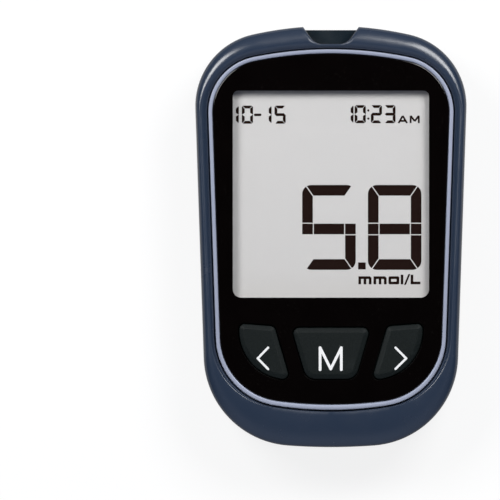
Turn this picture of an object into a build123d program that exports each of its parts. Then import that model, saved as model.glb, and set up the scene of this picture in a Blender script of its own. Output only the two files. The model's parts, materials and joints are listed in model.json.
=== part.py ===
from build123d import *
from math import cos, radians, sin, sqrt, tan
import os

os.makedirs("parts", exist_ok=True)

# A blood glucose meter, lying on its back. +X is to the right of the display, +Y is towards the strip
# port and +Z is out of the display. The origin is under the middle of the rear face. Sizes are millimetres.

# ---- Driving dimensions: case outline, seen from above ----
length = 94.0  # chin to the shoulders of the strip port
thickness = 22.0  # rear face to the crest of the rim
upper_half_width = 29.87  # half width, gauge_height above the middle
lower_half_width = 28.87  # half width, gauge_height below the middle
gauge_height = 15.0
crown_radius = 80.5
chin_radius = 132.0
upper_corner_radius = 16.4
lower_corner_radius = 20.3

# ---- Shells ----
wall = 1.8
parting_height = 10.5
rear_edge_radius = 5.0
rear_edge_bands = 3
rim_start_height = 20.0  # the side wall is straight up to here
rim_bands = 4
rim_crown_crest = 0.7  # where the crest lies, from the case edge (0) to the ring groove (1): at the crown
rim_upper_crest = 0.4  # at the upper sides
rim_lower_crest = 0.58  # at the lower sides
rim_chin_crest = 0.97  # at the chin, whose face is one broad slope
rim_corner_crest = 0.25  # the same share of the upper corner radius
rim_inner_drop = 1.1  # crest to the edge of the ring groove
chin_core_height = 1.8
chin_core_gap = 0.8  # more wall round the core than elsewhere
seam_chamfer = 0.25
lip_length = 48.0  # along the straight sides
lip_height = 1.1
lip_thickness = 0.8
tongue_x = 12.3  # snap tongues beside the strip port
tongue_width = 5.0
tongue_height = 2.6
tongue_nose = 0.4
tongue_nose_height = 0.9
fit_gap = 0.1  # between pieces that are pressed or laid together

# ---- Trim ring and lens ----
rim_top_width = 4.98
rim_side_width = 2.85
rim_chin_width = 8.31
ring_crown_radius = 86.8
ring_chin_radius = 80.0
ring_upper_corner = 12.6
ring_lower_corner = 15.7
ring_groove = 0.3
ring_width = 0.92
ring_chin_width = 1.2
lens_chin_radius = 92.0
lens_sink = 1.4  # lens face below the crest of the rim
ring_proud = 0.35  # ring above the lens face
ring_edge_chamfer = 0.25
lens_thickness = 1.5
tape_thickness = 0.3
tape_width = 2.2
deck_thickness = 1.2

# ---- Display ----
window_width = 43.9
window_height = 46.3
window_top_margin = 8.36  # lens edge to the window
glass_border = 1.5
glass_thickness = 1.0
film_thickness = 0.2
contact_ledge = 2.3  # of the front glass, past the rear glass
frame_wall = 0.6

# ---- Keys ----
key_height = 11.45
key_chin_margin = 5.75  # lens edge to the foot of the middle key
key_top_half_width = 8.82
key_side_angle = 16.4
key_spacing = 3.85  # between the middle key and a side key, measured along X
key_upper_corner = 1.3
key_lower_corner = 2.8
side_key_rise = 0.32  # inner top corner of a side key above the middle key
side_key_slope = 4.4
side_key_radius = 11.0  # outer edge of a side key
side_key_arc_x = 9.5
side_key_arc_drop = 0.55
side_key_corner = 1.2
key_gap = 0.3
key_flange = 0.5  # past the edge of the opening
key_flange_thickness = 0.9
key_proud = 0.3
key_travel = 0.8
key_bevel = 0.35
mat_margin = 4.5  # lens edge to the edge of the mat
mat_thickness = 0.6
dome_radius = 2.6

# ---- Strip port ----
port_half_width = 6.2
port_depth = 3.8
port_side_angle = 55.0
port_corner_radius = 3.3
port_relief = 0.7  # how far the shelf of the port stays inside the shoulders
port_lead = 0.4  # shelf past the floor of the port
port_step = 0.7  # shelf above the circuit board
strip_slot_width = 7.4
strip_slot_height = 1.3
shelf_thickness = 1.4
connector_width = 11.2
connector_depth = 6.2
connector_slot_height = 0.7
connector_wall = 0.8
connector_edge = 0.4
finger_pitch = 1.3
finger_width = 0.5
finger_thickness = 0.2
finger_count = 5
finger_tail = 0.7  # behind the socket
finger_bends = (0.3, 0.7, 2.6, 4.2, 4.9)  # from the back of the socket
finger_dips = (-0.5, 0.3, -0.1)  # below the top of the slot: arm, touching bend, tip

# ---- Cells, door and compartment ----
cell_diameter = 10.4
cell_length = 44.5
cell_nub_radius = 1.9
cell_nub_height = 1.0
cell_gap = 0.25
cell_spacing = 0.3  # between the two cells
spring_room = 2.6
leaf_thickness = 0.3
leaf_width = 4.0
leaf_margin = 1.0  # ends of a leaf inside its plate
plate_thickness = 0.4
plate_width = 8.0
plate_height = 8.6
plate_corner = 1.0
tail_width = 2.0
compartment_wall = 1.0
ceiling_thickness = 0.8
compartment_chin_margin = 3.6  # chin to the inside of the compartment
door_wall = 1.6
door_gap = 0.2
door_end_height = 8.2
door_corner = 1.5
hook_thickness = 0.8
hook_overlap = 0.4
hook_reach = 2.0  # of the hooks past the end of the door
hook_margin = 0.3  # hooks inside the edge of the door
rail_lip = 0.7
rail_wall = 1.2
grip_width = 14.0
grip_pitch = 2.2
grip_depth = 0.5
grip_count = 5

# ---- Circuit board and fasteners ----
board_thickness = 1.2
board_edge_gap = 1.2
board_chin_margin = 8.5
board_port_gap = 0.2
board_hole_gap = 0.3
board_hook_y = 20.0
board_hook_width = 4.0
board_hook_nose = 0.5  # under the edge of the board
board_hook_height = 1.0  # of the nose
boss_radius = 2.4
pilot_radius = 1.0
screw_head_radius = 2.1
screw_head_height = 1.4
screw_length = 12.0
screw_clearance = 0.2
case_screw_x = 21.0
case_screw_margin = 16.7  # from the chin
post_radius = 3.2
post_height = 6.8
head_recess = 3.4
rib_thickness = 0.8
rib_height = 1.5

# ---- Parts on the board: places seen from above, all on its rear face ----
microcontroller_place = (9.0, 24.0)
microcontroller_size = (10.0, 10.0, 1.4)
lead_size = (1.2, 0.4, 0.3)
lead_pitch = 1.2
lead_count = 7
radio_place = (-14.0, 26.0)
radio_size = (12.0, 15.0, 0.8)
shield_size = (11.0, 10.0, 1.4)  # metal can on the radio
memory_place = (-3.0, 33.5)
memory_size = (5.0, 4.0, 1.5)
crystal_place = (6.5, 34.5)
crystal_size = (10.0, 4.4, 3.2)
capacitor_place = (-18.5, 2.0)
capacitor_size = (1.6, 2.4, 1.2)
capacitor_spacing = (3.2, 4.0)
buzzer_place = (18.8, 0.0)
buzzer_radius = 6.0
buzzer_height = 4.0
buzzer_hole_radius = 1.0
chip_edge = 0.2

# ---- Heights that follow ----
lens_top = thickness - lens_sink
lens_bottom = lens_top - lens_thickness
deck_top = lens_bottom - tape_thickness
deck_bottom = deck_top - deck_thickness
ring_top = lens_top + ring_proud
polariser_top = deck_bottom - fit_gap
front_glass_top = polariser_top - film_thickness
rear_glass_top = front_glass_top - glass_thickness
reflector_top = rear_glass_top - glass_thickness
board_top = reflector_top - film_thickness - 2 * fit_gap
board_bottom = board_top - board_thickness
key_top = lens_top + key_proud
flange_top = deck_bottom - fit_gap
flange_bottom = flange_top - key_flange_thickness
shelf_top = board_top + port_step
cell_axis = door_wall + 2 * door_gap + cell_diameter / 2
ceiling_bottom = cell_axis + cell_diameter / 2 + door_gap
ceiling_top = ceiling_bottom + ceiling_thickness
lip_bottom = door_wall + door_gap
lip_top = lip_bottom + hook_thickness
hook_bottom = lip_top + door_gap
hook_top = hook_bottom + hook_thickness
channel_top = hook_top + 1.5 * door_gap

# ---- Places that follow ----
half_length = length / 2
crown = half_length + crown_radius - sqrt(crown_radius**2 - port_half_width**2)
ring_crown = half_length - rim_top_width
ring_chin = -half_length + rim_chin_width
window_top = ring_crown - ring_width - window_top_margin
window_bottom = window_top - window_height
window_middle = (window_top + window_bottom) / 2
lens_foot = ring_chin + ring_chin_width
key_foot = lens_foot + key_chin_margin
key_row_top = key_foot + key_height
port_bottom = half_length - port_depth
compartment_foot = -half_length + compartment_chin_margin
compartment_head = compartment_foot + 2 * plate_thickness + cell_length + spring_room
cell_x = (cell_diameter + cell_spacing) / 2
compartment_half = cell_x + cell_diameter / 2 + cell_gap
lip_half = compartment_half + compartment_wall + rail_lip
hook_half = lip_half + door_gap
door_half = hook_half + hook_thickness + hook_margin
door_head = compartment_head + 2 * compartment_wall
rail_half = door_half + door_gap + rail_wall
rail_head = door_head + hook_reach + 2 * door_gap
board_head = port_bottom - port_lead - board_port_gap
board_foot = -half_length + board_chin_margin
tail_places = [(side * cell_x, compartment_head - plate_thickness / 2) for side in (-1, 1)]
wall_reach = 8 * wall  # rectangles on the crown span its wall
case_screw_places = [(side * case_screw_x, case_screw_margin - half_length) for side in (-1, 1)]
board_hook_places = [(0, side * board_hook_y) for side in (-1, 1)]
tongue_places = [(side * tongue_x, half_length) for side in (-1, 1)]


# ---- Outlines ----
def shield(shape):
    """Outline of the case family: a crown arc, two straight tapering sides and a chin arc, with round corners."""
    top, bottom, high_half, low_half, top_radius, bottom_radius, high_corner, low_corner = shape
    middle = (high_half + low_half) / 2
    slope = (high_half - low_half) / (2 * gauge_height)
    reach = length
    sides = [
        (middle + slope * reach, reach),
        (-middle - slope * reach, reach),
        (-middle + slope * reach, -reach),
        (middle - slope * reach, -reach),
    ]
    with BuildSketch() as outline:
        with Locations((0, top - top_radius)):
            Circle(top_radius)
        with Locations((0, bottom + bottom_radius)):
            Circle(bottom_radius, mode=Mode.INTERSECT)
        Polygon(*sides, align=None, mode=Mode.INTERSECT)
        fillet(outline.vertices().group_by(Axis.Y)[-1], high_corner)
        fillet(outline.vertices().group_by(Axis.Y)[0], low_corner)
    return outline.sketch


def blend(outer, inner, share):
    """Shape part of the way from one outline to another."""
    return [a + (b - a) * share for a, b in zip(outer, inner)]


def inset(face, amount):
    """The outline moved inwards by the amount, or outwards where it is negative."""
    return offset(face, -amount, mode=Mode.PRIVATE)


case_shape = [
    crown,
    -half_length,
    upper_half_width,
    lower_half_width,
    crown_radius,
    chin_radius,
    upper_corner_radius,
    lower_corner_radius,
]
ring_shape = [
    ring_crown,
    ring_chin,
    upper_half_width - rim_side_width,
    lower_half_width - rim_side_width,
    ring_crown_radius,
    ring_chin_radius,
    ring_upper_corner,
    ring_lower_corner,
]
lens_shape = [
    ring_crown - ring_width,
    ring_chin + ring_chin_width,
    upper_half_width - rim_side_width - ring_width,
    lower_half_width - rim_side_width - ring_width,
    ring_crown_radius - ring_width,
    lens_chin_radius,
    ring_upper_corner - ring_width,
    ring_lower_corner - ring_width,
]
groove_shape = [
    ring_crown + ring_groove,
    ring_chin - ring_groove,
    upper_half_width - rim_side_width + ring_groove,
    lower_half_width - rim_side_width + ring_groove,
    ring_crown_radius + ring_groove,
    ring_chin_radius + ring_groove,
    ring_upper_corner + ring_groove,
    ring_lower_corner + ring_groove,
]
case_face = shield(case_shape)
ring_face = shield(ring_shape)
lens_face = shield(lens_shape)
groove_face = shield(groove_shape)
cavity_face = inset(case_face, wall)


def wall_zone(places, width, height, outer, inner):
    """Zone between two depths inside the case outline, kept within rectangles at the places."""
    with BuildSketch() as zone:
        with Locations(*places):
            Rectangle(width, height)
        add(inset(case_face, outer), mode=Mode.INTERSECT)
        add(inset(case_face, inner), mode=Mode.SUBTRACT)
    return zone.sketch


def port_outline(bottom, corner):
    """Trapezoid that opens through the crown, with its floor at the given height and its floor corners rounded."""
    spread = 1 / tan(radians(port_side_angle))
    reach = 2 * port_depth
    floor_half = port_half_width - (half_length - bottom) * spread
    outer_half = port_half_width + reach * spread
    with BuildSketch() as outline:
        with BuildLine():
            Polyline(
                (-floor_half, bottom),
                (floor_half, bottom),
                (outer_half, half_length + reach),
                (-outer_half, half_length + reach),
                close=True,
            )
        make_face()
        if corner:
            fillet(outline.vertices().group_by(Axis.Y)[0], corner)
    return outline.sketch


port_face = port_outline(port_bottom, port_corner_radius)
relief_face = port_outline(half_length - port_relief, 0)


def middle_key_outline():
    """Trapezoid that narrows downwards, with soft corners."""
    foot_half = key_top_half_width - key_height * tan(radians(key_side_angle))
    with BuildSketch() as outline:
        with BuildLine():
            Polyline(
                (-key_top_half_width, key_row_top),
                (key_top_half_width, key_row_top),
                (foot_half, key_foot),
                (-foot_half, key_foot),
                close=True,
            )
        make_face()
        fillet(outline.vertices().group_by(Axis.Y)[-1], key_upper_corner)
        fillet(outline.vertices().group_by(Axis.Y)[0], key_lower_corner)
    return outline.sketch


def side_key_outline(side):
    """Quarter disc whose inner side runs beside the middle key; the side is -1 for the left key, 1 for the right."""
    top = key_row_top + side_key_rise
    drop = 2 * key_height
    inner_top = key_top_half_width + key_spacing
    inner_foot = inner_top - (drop + side_key_rise) * tan(radians(key_side_angle))
    far = inner_top + 2 * side_key_radius
    rise = 2 * side_key_radius * tan(radians(side_key_slope))
    with BuildSketch() as outline:
        with Locations((side * side_key_arc_x, key_row_top - side_key_arc_drop)):
            Circle(side_key_radius)
        Polygon(
            (side * inner_top, top),
            (side * far, top + rise),
            (side * far, key_row_top - drop),
            (side * inner_foot, key_row_top - drop),
            align=None,
            mode=Mode.INTERSECT,
        )
        fillet(outline.vertices(), side_key_corner)
    return outline.sketch


memory_key_face = middle_key_outline()
left_key_face = side_key_outline(-1)
right_key_face = side_key_outline(1)
key_faces = [left_key_face, memory_key_face, right_key_face]

# Rolled rim: the outside climbs a quarter ellipse to the crest, the inside falls off it into the ring groove.
crest_shares = [
    rim_crown_crest,
    rim_chin_crest,
    rim_upper_crest,
    rim_lower_crest,
    rim_crown_crest,
    rim_chin_crest,
    rim_corner_crest,
    rim_chin_crest,
]
crest_shape = [a + (b - a) * share for a, b, share in zip(case_shape, groove_shape, crest_shares)]
rim_outside = []
for band in range(rim_bands + 1):
    angle = radians(90 * band / rim_bands)
    height = rim_start_height + (thickness - rim_start_height) * sin(angle)
    rim_outside.append((height, shield(blend(case_shape, crest_shape, 1 - cos(angle)))))
rim_inside = []
for step in (0, 0.6, 1.2):
    height = thickness - rim_inner_drop * step**2
    rim_inside.append((height, shield(blend(crest_shape, groove_shape, step))))

# Inside of the chin, where the rim is thick enough to be cored.
with BuildSketch() as chin_core:
    add(inset(case_face, wall + chin_core_gap))
    add(inset(groove_face, -wall), mode=Mode.SUBTRACT)
    with Locations((0, length)):
        Rectangle(2 * length, 2 * length, mode=Mode.SUBTRACT)

# ---- Front housing ----
with BuildPart() as front_housing:
    with BuildSketch(Plane.XY.offset(parting_height)):
        add(case_face)
    extrude(amount=rim_start_height - parting_height)
    chamfer(front_housing.faces().sort_by(Axis.Z)[0].edges(), seam_chamfer)
    for height, section in rim_outside:
        with BuildSketch(Plane.XY.offset(height)):
            add(section)
    loft(ruled=True)
    for height, section in rim_inside:
        with BuildSketch(Plane.XY.offset(height)):
            add(section)
    loft(ruled=True, mode=Mode.SUBTRACT)
    # seat of the ring and the lens
    with BuildSketch(Plane.XY.offset(deck_top)):
        add(groove_face)
    extrude(amount=thickness, mode=Mode.SUBTRACT)
    # inside of the shell, up to the deck
    with BuildSketch(Plane.XY.offset(parting_height)):
        add(cavity_face)
    extrude(amount=deck_bottom - parting_height, mode=Mode.SUBTRACT)
    with BuildSketch(Plane.XY.offset(deck_bottom)):
        add(chin_core.sketch)
    extrude(amount=chin_core_height, mode=Mode.SUBTRACT)
    # rebates for the lips and the snap tongues of the rear housing
    rebate = wall - lip_thickness - fit_gap
    with BuildSketch(Plane.XY.offset(parting_height)):
        add(wall_zone([(0, 0)], length, lip_length + 2 * fit_gap, rebate, 2 * wall))
    extrude(amount=lip_height + fit_gap, mode=Mode.SUBTRACT)
    with BuildSketch(Plane.XY.offset(parting_height)):
        add(wall_zone(tongue_places, tongue_width + 2 * fit_gap, wall_reach, rebate, 2 * wall))
    extrude(amount=tongue_height + fit_gap, mode=Mode.SUBTRACT)
    with BuildSketch(Plane.XY.offset(parting_height + tongue_height + fit_gap)):
        add(wall_zone(tongue_places, tongue_width + 2 * fit_gap, wall_reach, rebate - tongue_nose, 2 * wall))
    extrude(amount=-tongue_nose_height - 2 * fit_gap, mode=Mode.SUBTRACT)
    # screw bosses under the deck
    with BuildSketch(Plane.XY.offset(post_height)):
        with Locations(*case_screw_places):
            Circle(boss_radius)
    extrude(amount=deck_bottom - post_height)
    # hooks that hold the edges of the circuit board
    board_edge = wall + board_edge_gap
    with BuildSketch(Plane.XY.offset(board_bottom - fit_gap - board_hook_height)):
        add(wall_zone(board_hook_places, length, board_hook_width, wall + 2 * fit_gap, board_edge - fit_gap))
    extrude(amount=deck_bottom - board_bottom + fit_gap + board_hook_height)
    with BuildSketch(Plane.XY.offset(board_bottom - fit_gap)):
        add(wall_zone(board_hook_places, length, board_hook_width, wall + 2 * fit_gap, board_edge + board_hook_nose))
    extrude(amount=-board_hook_height)
    # shelf and cheeks of the strip port, behind the end wall
    with BuildSketch(Plane.XY.offset(shelf_top - shelf_thickness)):
        with Locations((0, port_bottom - port_lead)):
            Rectangle(2 * port_half_width + 2 * wall, port_depth, align=(Align.CENTER, Align.MIN))
    extrude(amount=deck_bottom - shelf_top + shelf_thickness)
    # pilot holes
    with BuildSketch(Plane.XY.offset(post_height)):
        with Locations(*case_screw_places):
            Circle(pilot_radius)
    extrude(amount=deck_bottom - post_height, mode=Mode.SUBTRACT)
    # window and key openings in the deck
    with BuildSketch(Plane.XY.offset(deck_bottom)):
        with Locations((0, window_middle)):
            RectangleRounded(window_width + glass_border, window_height + glass_border, glass_border)
        for face in key_faces:
            add(inset(face, -key_gap))
    extrude(amount=deck_thickness, mode=Mode.SUBTRACT)
    # strip port, cut through the rim down to the shelf, and the slot behind it
    with BuildSketch(Plane.XY.offset(shelf_top)):
        add(port_face)
    extrude(amount=thickness, mode=Mode.SUBTRACT)
    with BuildSketch(Plane.XY.offset(shelf_top)):
        with Locations((0, port_bottom)):
            Rectangle(strip_slot_width, 2 * port_depth)
    extrude(amount=strip_slot_height, mode=Mode.SUBTRACT)
    with BuildSketch():
        add(relief_face)
    extrude(amount=thickness, mode=Mode.SUBTRACT)

# ---- Trim ring, lens and tape ----
with BuildPart() as trim_ring:
    with BuildSketch(Plane.XY.offset(deck_top)):
        add(ring_face)
        add(lens_face, mode=Mode.SUBTRACT)
    extrude(amount=ring_top - deck_top)
    chamfer(trim_ring.faces().sort_by(Axis.Z)[-1].outer_wire().edges(), ring_edge_chamfer)

with BuildPart() as display_lens:
    with BuildSketch(Plane.XY.offset(lens_bottom)):
        add(inset(lens_face, fit_gap))
    extrude(amount=lens_thickness)
    with BuildSketch(Plane.XY.offset(lens_bottom)):
        for face in key_faces:
            add(inset(face, -key_gap))
    extrude(amount=lens_thickness, mode=Mode.SUBTRACT)

with BuildPart() as lens_tape:
    with BuildSketch(Plane.XY.offset(deck_top)):
        with Locations((0, window_middle)):
            Rectangle(window_width + 2 * tape_width, window_height + 2 * tape_width)
            Rectangle(window_width + glass_border, window_height + glass_border, mode=Mode.SUBTRACT)
        with Locations((0, lens_foot + 1.5 * tape_width)):
            Rectangle(2 * key_top_half_width, tape_width)
    extrude(amount=tape_thickness)


# ---- Keys ----
def key(face):
    """Key cap that stands through the deck and the lens, on a flange under the deck."""
    with BuildPart() as cap:
        with BuildSketch(Plane.XY.offset(flange_top)):
            add(face)
        extrude(amount=key_top - flange_top)
        chamfer(cap.faces().sort_by(Axis.Z)[-1].edges(), key_bevel)
        with BuildSketch(Plane.XY.offset(flange_bottom)):
            add(inset(face, -key_gap - key_flange))
        extrude(amount=key_flange_thickness)
    return cap.part


with BuildPart() as left_button:
    add(key(left_key_face))

with BuildPart() as memory_button:
    add(key(memory_key_face))

with BuildPart() as right_button:
    add(key(right_key_face))

with BuildPart() as keypad_mat:
    with BuildSketch(Plane.XY.offset(board_top)):
        add(inset(lens_face, mat_margin))
        with Locations((0, key_row_top + key_flange + key_gap)):
            Rectangle(2 * length, 2 * length, align=(Align.CENTER, Align.MIN), mode=Mode.SUBTRACT)
        with Locations((0, key_foot - key_flange - key_gap)):
            Rectangle(2 * length, 2 * length, align=(Align.CENTER, Align.MAX), mode=Mode.SUBTRACT)
    extrude(amount=mat_thickness)
    for face in key_faces:
        place = face.faces()[0].center()
        with BuildSketch(Plane.XY.offset(board_top + mat_thickness)):
            with Locations((place.X, place.Y)):
                Circle(dome_radius)
        extrude(amount=flange_bottom - board_top - mat_thickness)

# ---- Display ----
glass_width = window_width + 2 * glass_border
glass_head = window_top + glass_border
rear_glass_foot = window_bottom - glass_border
front_glass_foot = rear_glass_foot - contact_ledge


def display_layer(top, layer_thickness, foot):
    """Flat layer of the display, between its foot and the common upper edge."""
    with BuildPart() as layer:
        with BuildSketch(Plane.XY.offset(top - layer_thickness)):
            with Locations((0, foot)):
                Rectangle(glass_width, glass_head - foot, align=(Align.CENTER, Align.MIN))
        extrude(amount=layer_thickness)
        chamfer(layer.edges().filter_by(Axis.Z), layer_thickness / 2)
    return layer.part


with BuildPart() as lcd_polariser:
    add(display_layer(polariser_top, film_thickness, rear_glass_foot))

with BuildPart() as lcd_front_glass:
    add(display_layer(front_glass_top, glass_thickness, front_glass_foot))

with BuildPart() as lcd_rear_glass:
    add(display_layer(rear_glass_top, glass_thickness, rear_glass_foot))

with BuildPart() as lcd_reflector:
    add(display_layer(reflector_top, film_thickness, rear_glass_foot))

frame_foot = front_glass_foot - fit_gap - frame_wall
frame_head = glass_head + fit_gap + frame_wall

with BuildPart() as lcd_frame:
    with BuildSketch(Plane.XY.offset(board_top)):
        with Locations((0, (frame_head + frame_foot) / 2)):
            Rectangle(glass_width + 2 * fit_gap + 2 * frame_wall, frame_head - frame_foot)
    extrude(amount=polariser_top - board_top)
    with BuildSketch(Plane.XY.offset(board_top)):
        with Locations((0, (glass_head + front_glass_foot) / 2)):
            Rectangle(glass_width + 2 * fit_gap, glass_head - front_glass_foot + 2 * fit_gap)
    extrude(amount=polariser_top - board_top, mode=Mode.SUBTRACT)

with BuildPart() as zebra_strip:
    with BuildSketch(Plane.XY.offset(board_top)):
        with Locations((0, (front_glass_foot + rear_glass_foot) / 2)):
            Rectangle(window_width, contact_ledge - 4 * fit_gap)
    extrude(amount=rear_glass_top - board_top)

# ---- Circuit board and what stands on it ----
with BuildPart() as circuit_board:
    with BuildSketch(Plane.XY.offset(board_bottom)):
        add(inset(case_face, board_edge))
        with Locations((0, board_head)):
            Rectangle(2 * length, length, align=(Align.CENTER, Align.MIN), mode=Mode.SUBTRACT)
        with Locations((0, board_foot)):
            Rectangle(2 * length, length, align=(Align.CENTER, Align.MAX), mode=Mode.SUBTRACT)
        with Locations(*case_screw_places):
            Circle(boss_radius + board_hole_gap, mode=Mode.SUBTRACT)
        with Locations(*tail_places):
            Rectangle(tail_width + 2 * fit_gap, plate_thickness + 2 * fit_gap, mode=Mode.SUBTRACT)
    extrude(amount=board_thickness)


def chip(place, size):
    """Package soldered under the board, with chamfered edges on its face."""
    with BuildPart() as package:
        with Locations((*place, board_bottom)):
            Box(*size, align=(Align.CENTER, Align.CENTER, Align.MAX))
        chamfer(package.faces().sort_by(Axis.Z)[0].edges(), chip_edge)
    return package.part


with BuildPart() as microcontroller:
    add(chip(microcontroller_place, microcontroller_size))
    lead_length, lead_width, lead_height = lead_size
    lead_spread = microcontroller_size[0] + lead_length / 2
    with BuildSketch(Plane.XY.offset(board_bottom)):
        with Locations(microcontroller_place):
            with GridLocations(lead_pitch, lead_spread, lead_count, 2):
                Rectangle(lead_width, lead_length)
            with GridLocations(lead_spread, lead_pitch, 2, lead_count):
                Rectangle(lead_length, lead_width)
    extrude(amount=-lead_height)

with BuildPart() as bluetooth_module:
    add(chip(radio_place, radio_size))
    shield_width, shield_depth, shield_height = shield_size
    with BuildSketch(Plane.XY.offset(board_bottom - radio_size[2])):
        with Locations((radio_place[0], radio_place[1] - (radio_size[1] - shield_depth) / 2 + chip_edge)):
            Rectangle(shield_width, shield_depth)
    extrude(amount=-shield_height)

with BuildPart() as memory_chip:
    add(chip(memory_place, memory_size))

with BuildPart() as crystal:
    crystal_length, crystal_width, crystal_height = crystal_size
    with BuildSketch(Plane.XY.offset(board_bottom)):
        with Locations(crystal_place):
            SlotOverall(crystal_length, crystal_width)
    extrude(amount=-crystal_height)

with BuildPart() as capacitors:
    capacitor_width, capacitor_depth, capacitor_height = capacitor_size
    with BuildSketch(Plane.XY.offset(board_bottom)):
        with Locations(capacitor_place):
            with GridLocations(*capacitor_spacing, 3, 2):
                Rectangle(capacitor_width, capacitor_depth)
    extrude(amount=-capacitor_height)

with BuildPart() as buzzer:
    with BuildSketch(Plane.XY.offset(board_bottom)):
        with Locations(buzzer_place):
            Circle(buzzer_radius)
    extrude(amount=-buzzer_height)
    with BuildSketch(Plane.XY.offset(board_bottom - buzzer_height)):
        with Locations(buzzer_place):
            Circle(buzzer_hole_radius)
    extrude(amount=buzzer_height / 2, mode=Mode.SUBTRACT)


# ---- Strip connector ----
connector_head = board_head - 2 * fit_gap
connector_foot = connector_head - connector_depth
connector_top = deck_bottom - 2 * fit_gap
slot_top = shelf_top + connector_slot_height

with BuildPart() as strip_connector:
    with BuildSketch(Plane.XY.offset(board_top)):
        with Locations((0, connector_foot)):
            Rectangle(connector_width, connector_depth, align=(Align.CENTER, Align.MIN))
    extrude(amount=connector_top - board_top)
    chamfer(strip_connector.edges().filter_by(Axis.Z), connector_edge)
    with BuildSketch(Plane.XY.offset(shelf_top)):
        with Locations((0, connector_foot + connector_wall)):
            Rectangle(strip_slot_width - connector_edge, connector_depth, align=(Align.CENTER, Align.MIN))
    extrude(amount=connector_slot_height, mode=Mode.SUBTRACT)
    with BuildSketch(Plane.XY.offset(board_top)):
        with Locations((0, connector_foot + (connector_depth - connector_wall) / 2)):
            with GridLocations(finger_pitch, 0, finger_count, 1):
                Rectangle(finger_width + 2 * fit_gap, connector_depth - connector_wall)
    extrude(amount=slot_top + connector_wall - board_top, mode=Mode.SUBTRACT)

finger_foot = board_top + finger_thickness / 2
arm, touch, tip = [slot_top - dip for dip in finger_dips]
bends = [connector_foot + bend for bend in finger_bends]

with BuildPart() as strip_contacts:
    for finger in range(finger_count):
        x = (finger - (finger_count - 1) / 2) * finger_pitch
        with BuildSketch(Plane.YZ.offset(x)):
            with BuildLine():
                Polyline(
                    (connector_foot - finger_tail, finger_foot),
                    (bends[0], finger_foot),
                    (bends[1], arm),
                    (bends[2], arm),
                    (bends[3], touch),
                    (bends[4], tip),
                )
            trace(line_width=finger_thickness)
        extrude(amount=finger_width / 2, both=True)


# ---- Cells and their contacts ----
def dry_cell(x, tip, direction):
    """Round cell along Y with its positive tip at the given place, pointing to +Y (1) or -Y (-1)."""
    shoulder = (x, tip - direction * cell_nub_height, cell_axis)
    with BuildPart() as cell:
        with BuildSketch(Plane(origin=shoulder, z_dir=(0, -direction, 0))):
            Circle(cell_diameter / 2)
        extrude(amount=cell_length - cell_nub_height)
        with BuildSketch(Plane(origin=shoulder, z_dir=(0, direction, 0))):
            Circle(cell_nub_radius)
        extrude(amount=cell_nub_height)
    return cell.part


def contact_plate(middle, width, back, direction):
    """Stamped plate with its back on an end wall; the direction is the way it faces, 1 for +Y."""
    with BuildPart() as plate:
        with BuildSketch(Plane(origin=(middle, back, cell_axis), x_dir=(1, 0, 0), z_dir=(0, direction, 0))):
            Rectangle(width, plate_height)
        extrude(amount=plate_thickness)
        chamfer(plate.edges().filter_by(Axis.Y), plate_corner)
    return plate.part


def contact_leaf(x, face, direction):
    """Bowed spring leaf that stands out of a plate as far as the end of its cell."""
    half_height = plate_height / 2 - leaf_margin
    with BuildPart() as leaf:
        with BuildSketch(Plane.YZ.offset(x)):
            with BuildLine():
                ThreePointArc(
                    (face, cell_axis + half_height),
                    (face + direction * (spring_room - leaf_thickness / 2 - fit_gap / 2), cell_axis),
                    (face + direction * leaf_thickness, cell_axis - half_height),
                )
            trace(line_width=leaf_thickness)
        extrude(amount=leaf_width / 2, both=True)
    return leaf.part


def contact_tail(x, back):
    """Strip that runs from a plate up through the ceiling of the compartment to the top of the board."""
    with BuildPart() as strip:
        with BuildSketch(Plane.XY.offset(cell_axis)):
            with Locations((x, back)):
                Rectangle(tail_width, plate_thickness, align=(Align.CENTER, Align.MAX))
        extrude(amount=board_top - cell_axis)
    return strip.part


with BuildPart() as left_cell:
    add(dry_cell(-cell_x, compartment_head - plate_thickness, 1))

with BuildPart() as right_cell:
    add(dry_cell(cell_x, compartment_foot + plate_thickness, -1))

with BuildPart() as positive_plate:
    add(contact_plate(-cell_x, plate_width, compartment_head, -1))
    add(contact_tail(-cell_x, compartment_head))

with BuildPart() as negative_leaf:
    add(contact_plate(cell_x, plate_width, compartment_head, -1))
    add(contact_tail(cell_x, compartment_head))
    add(contact_leaf(cell_x, compartment_head - plate_thickness, -1))

with BuildPart() as bridge_leaf:
    add(contact_plate(0, 2 * cell_x + plate_width, compartment_foot, 1))
    add(contact_leaf(-cell_x, compartment_foot + plate_thickness, 1))


# ---- Rear housing ----
def rear_form(depth, top, bands=rear_edge_bands):
    """Solid that fills the rear of the case, with its round rear edge, the given depth inside its faces."""
    radius = rear_edge_radius - depth
    with BuildPart() as form:
        for band in range(bands + 1):
            angle = radians(90 * band / bands)
            with BuildSketch(Plane.XY.offset(rear_edge_radius - radius * cos(angle))):
                add(inset(case_face, rear_edge_radius - radius * sin(angle)))
        loft(ruled=True)
        with BuildSketch(Plane.XY.offset(rear_edge_radius)):
            add(inset(case_face, depth))
        extrude(amount=top - rear_edge_radius)
    return form.part


with BuildSketch() as door_outline:
    with Locations((0, door_head)):
        RectangleRounded(2 * door_half, length, door_corner, align=(Align.CENTER, Align.MAX))

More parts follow.
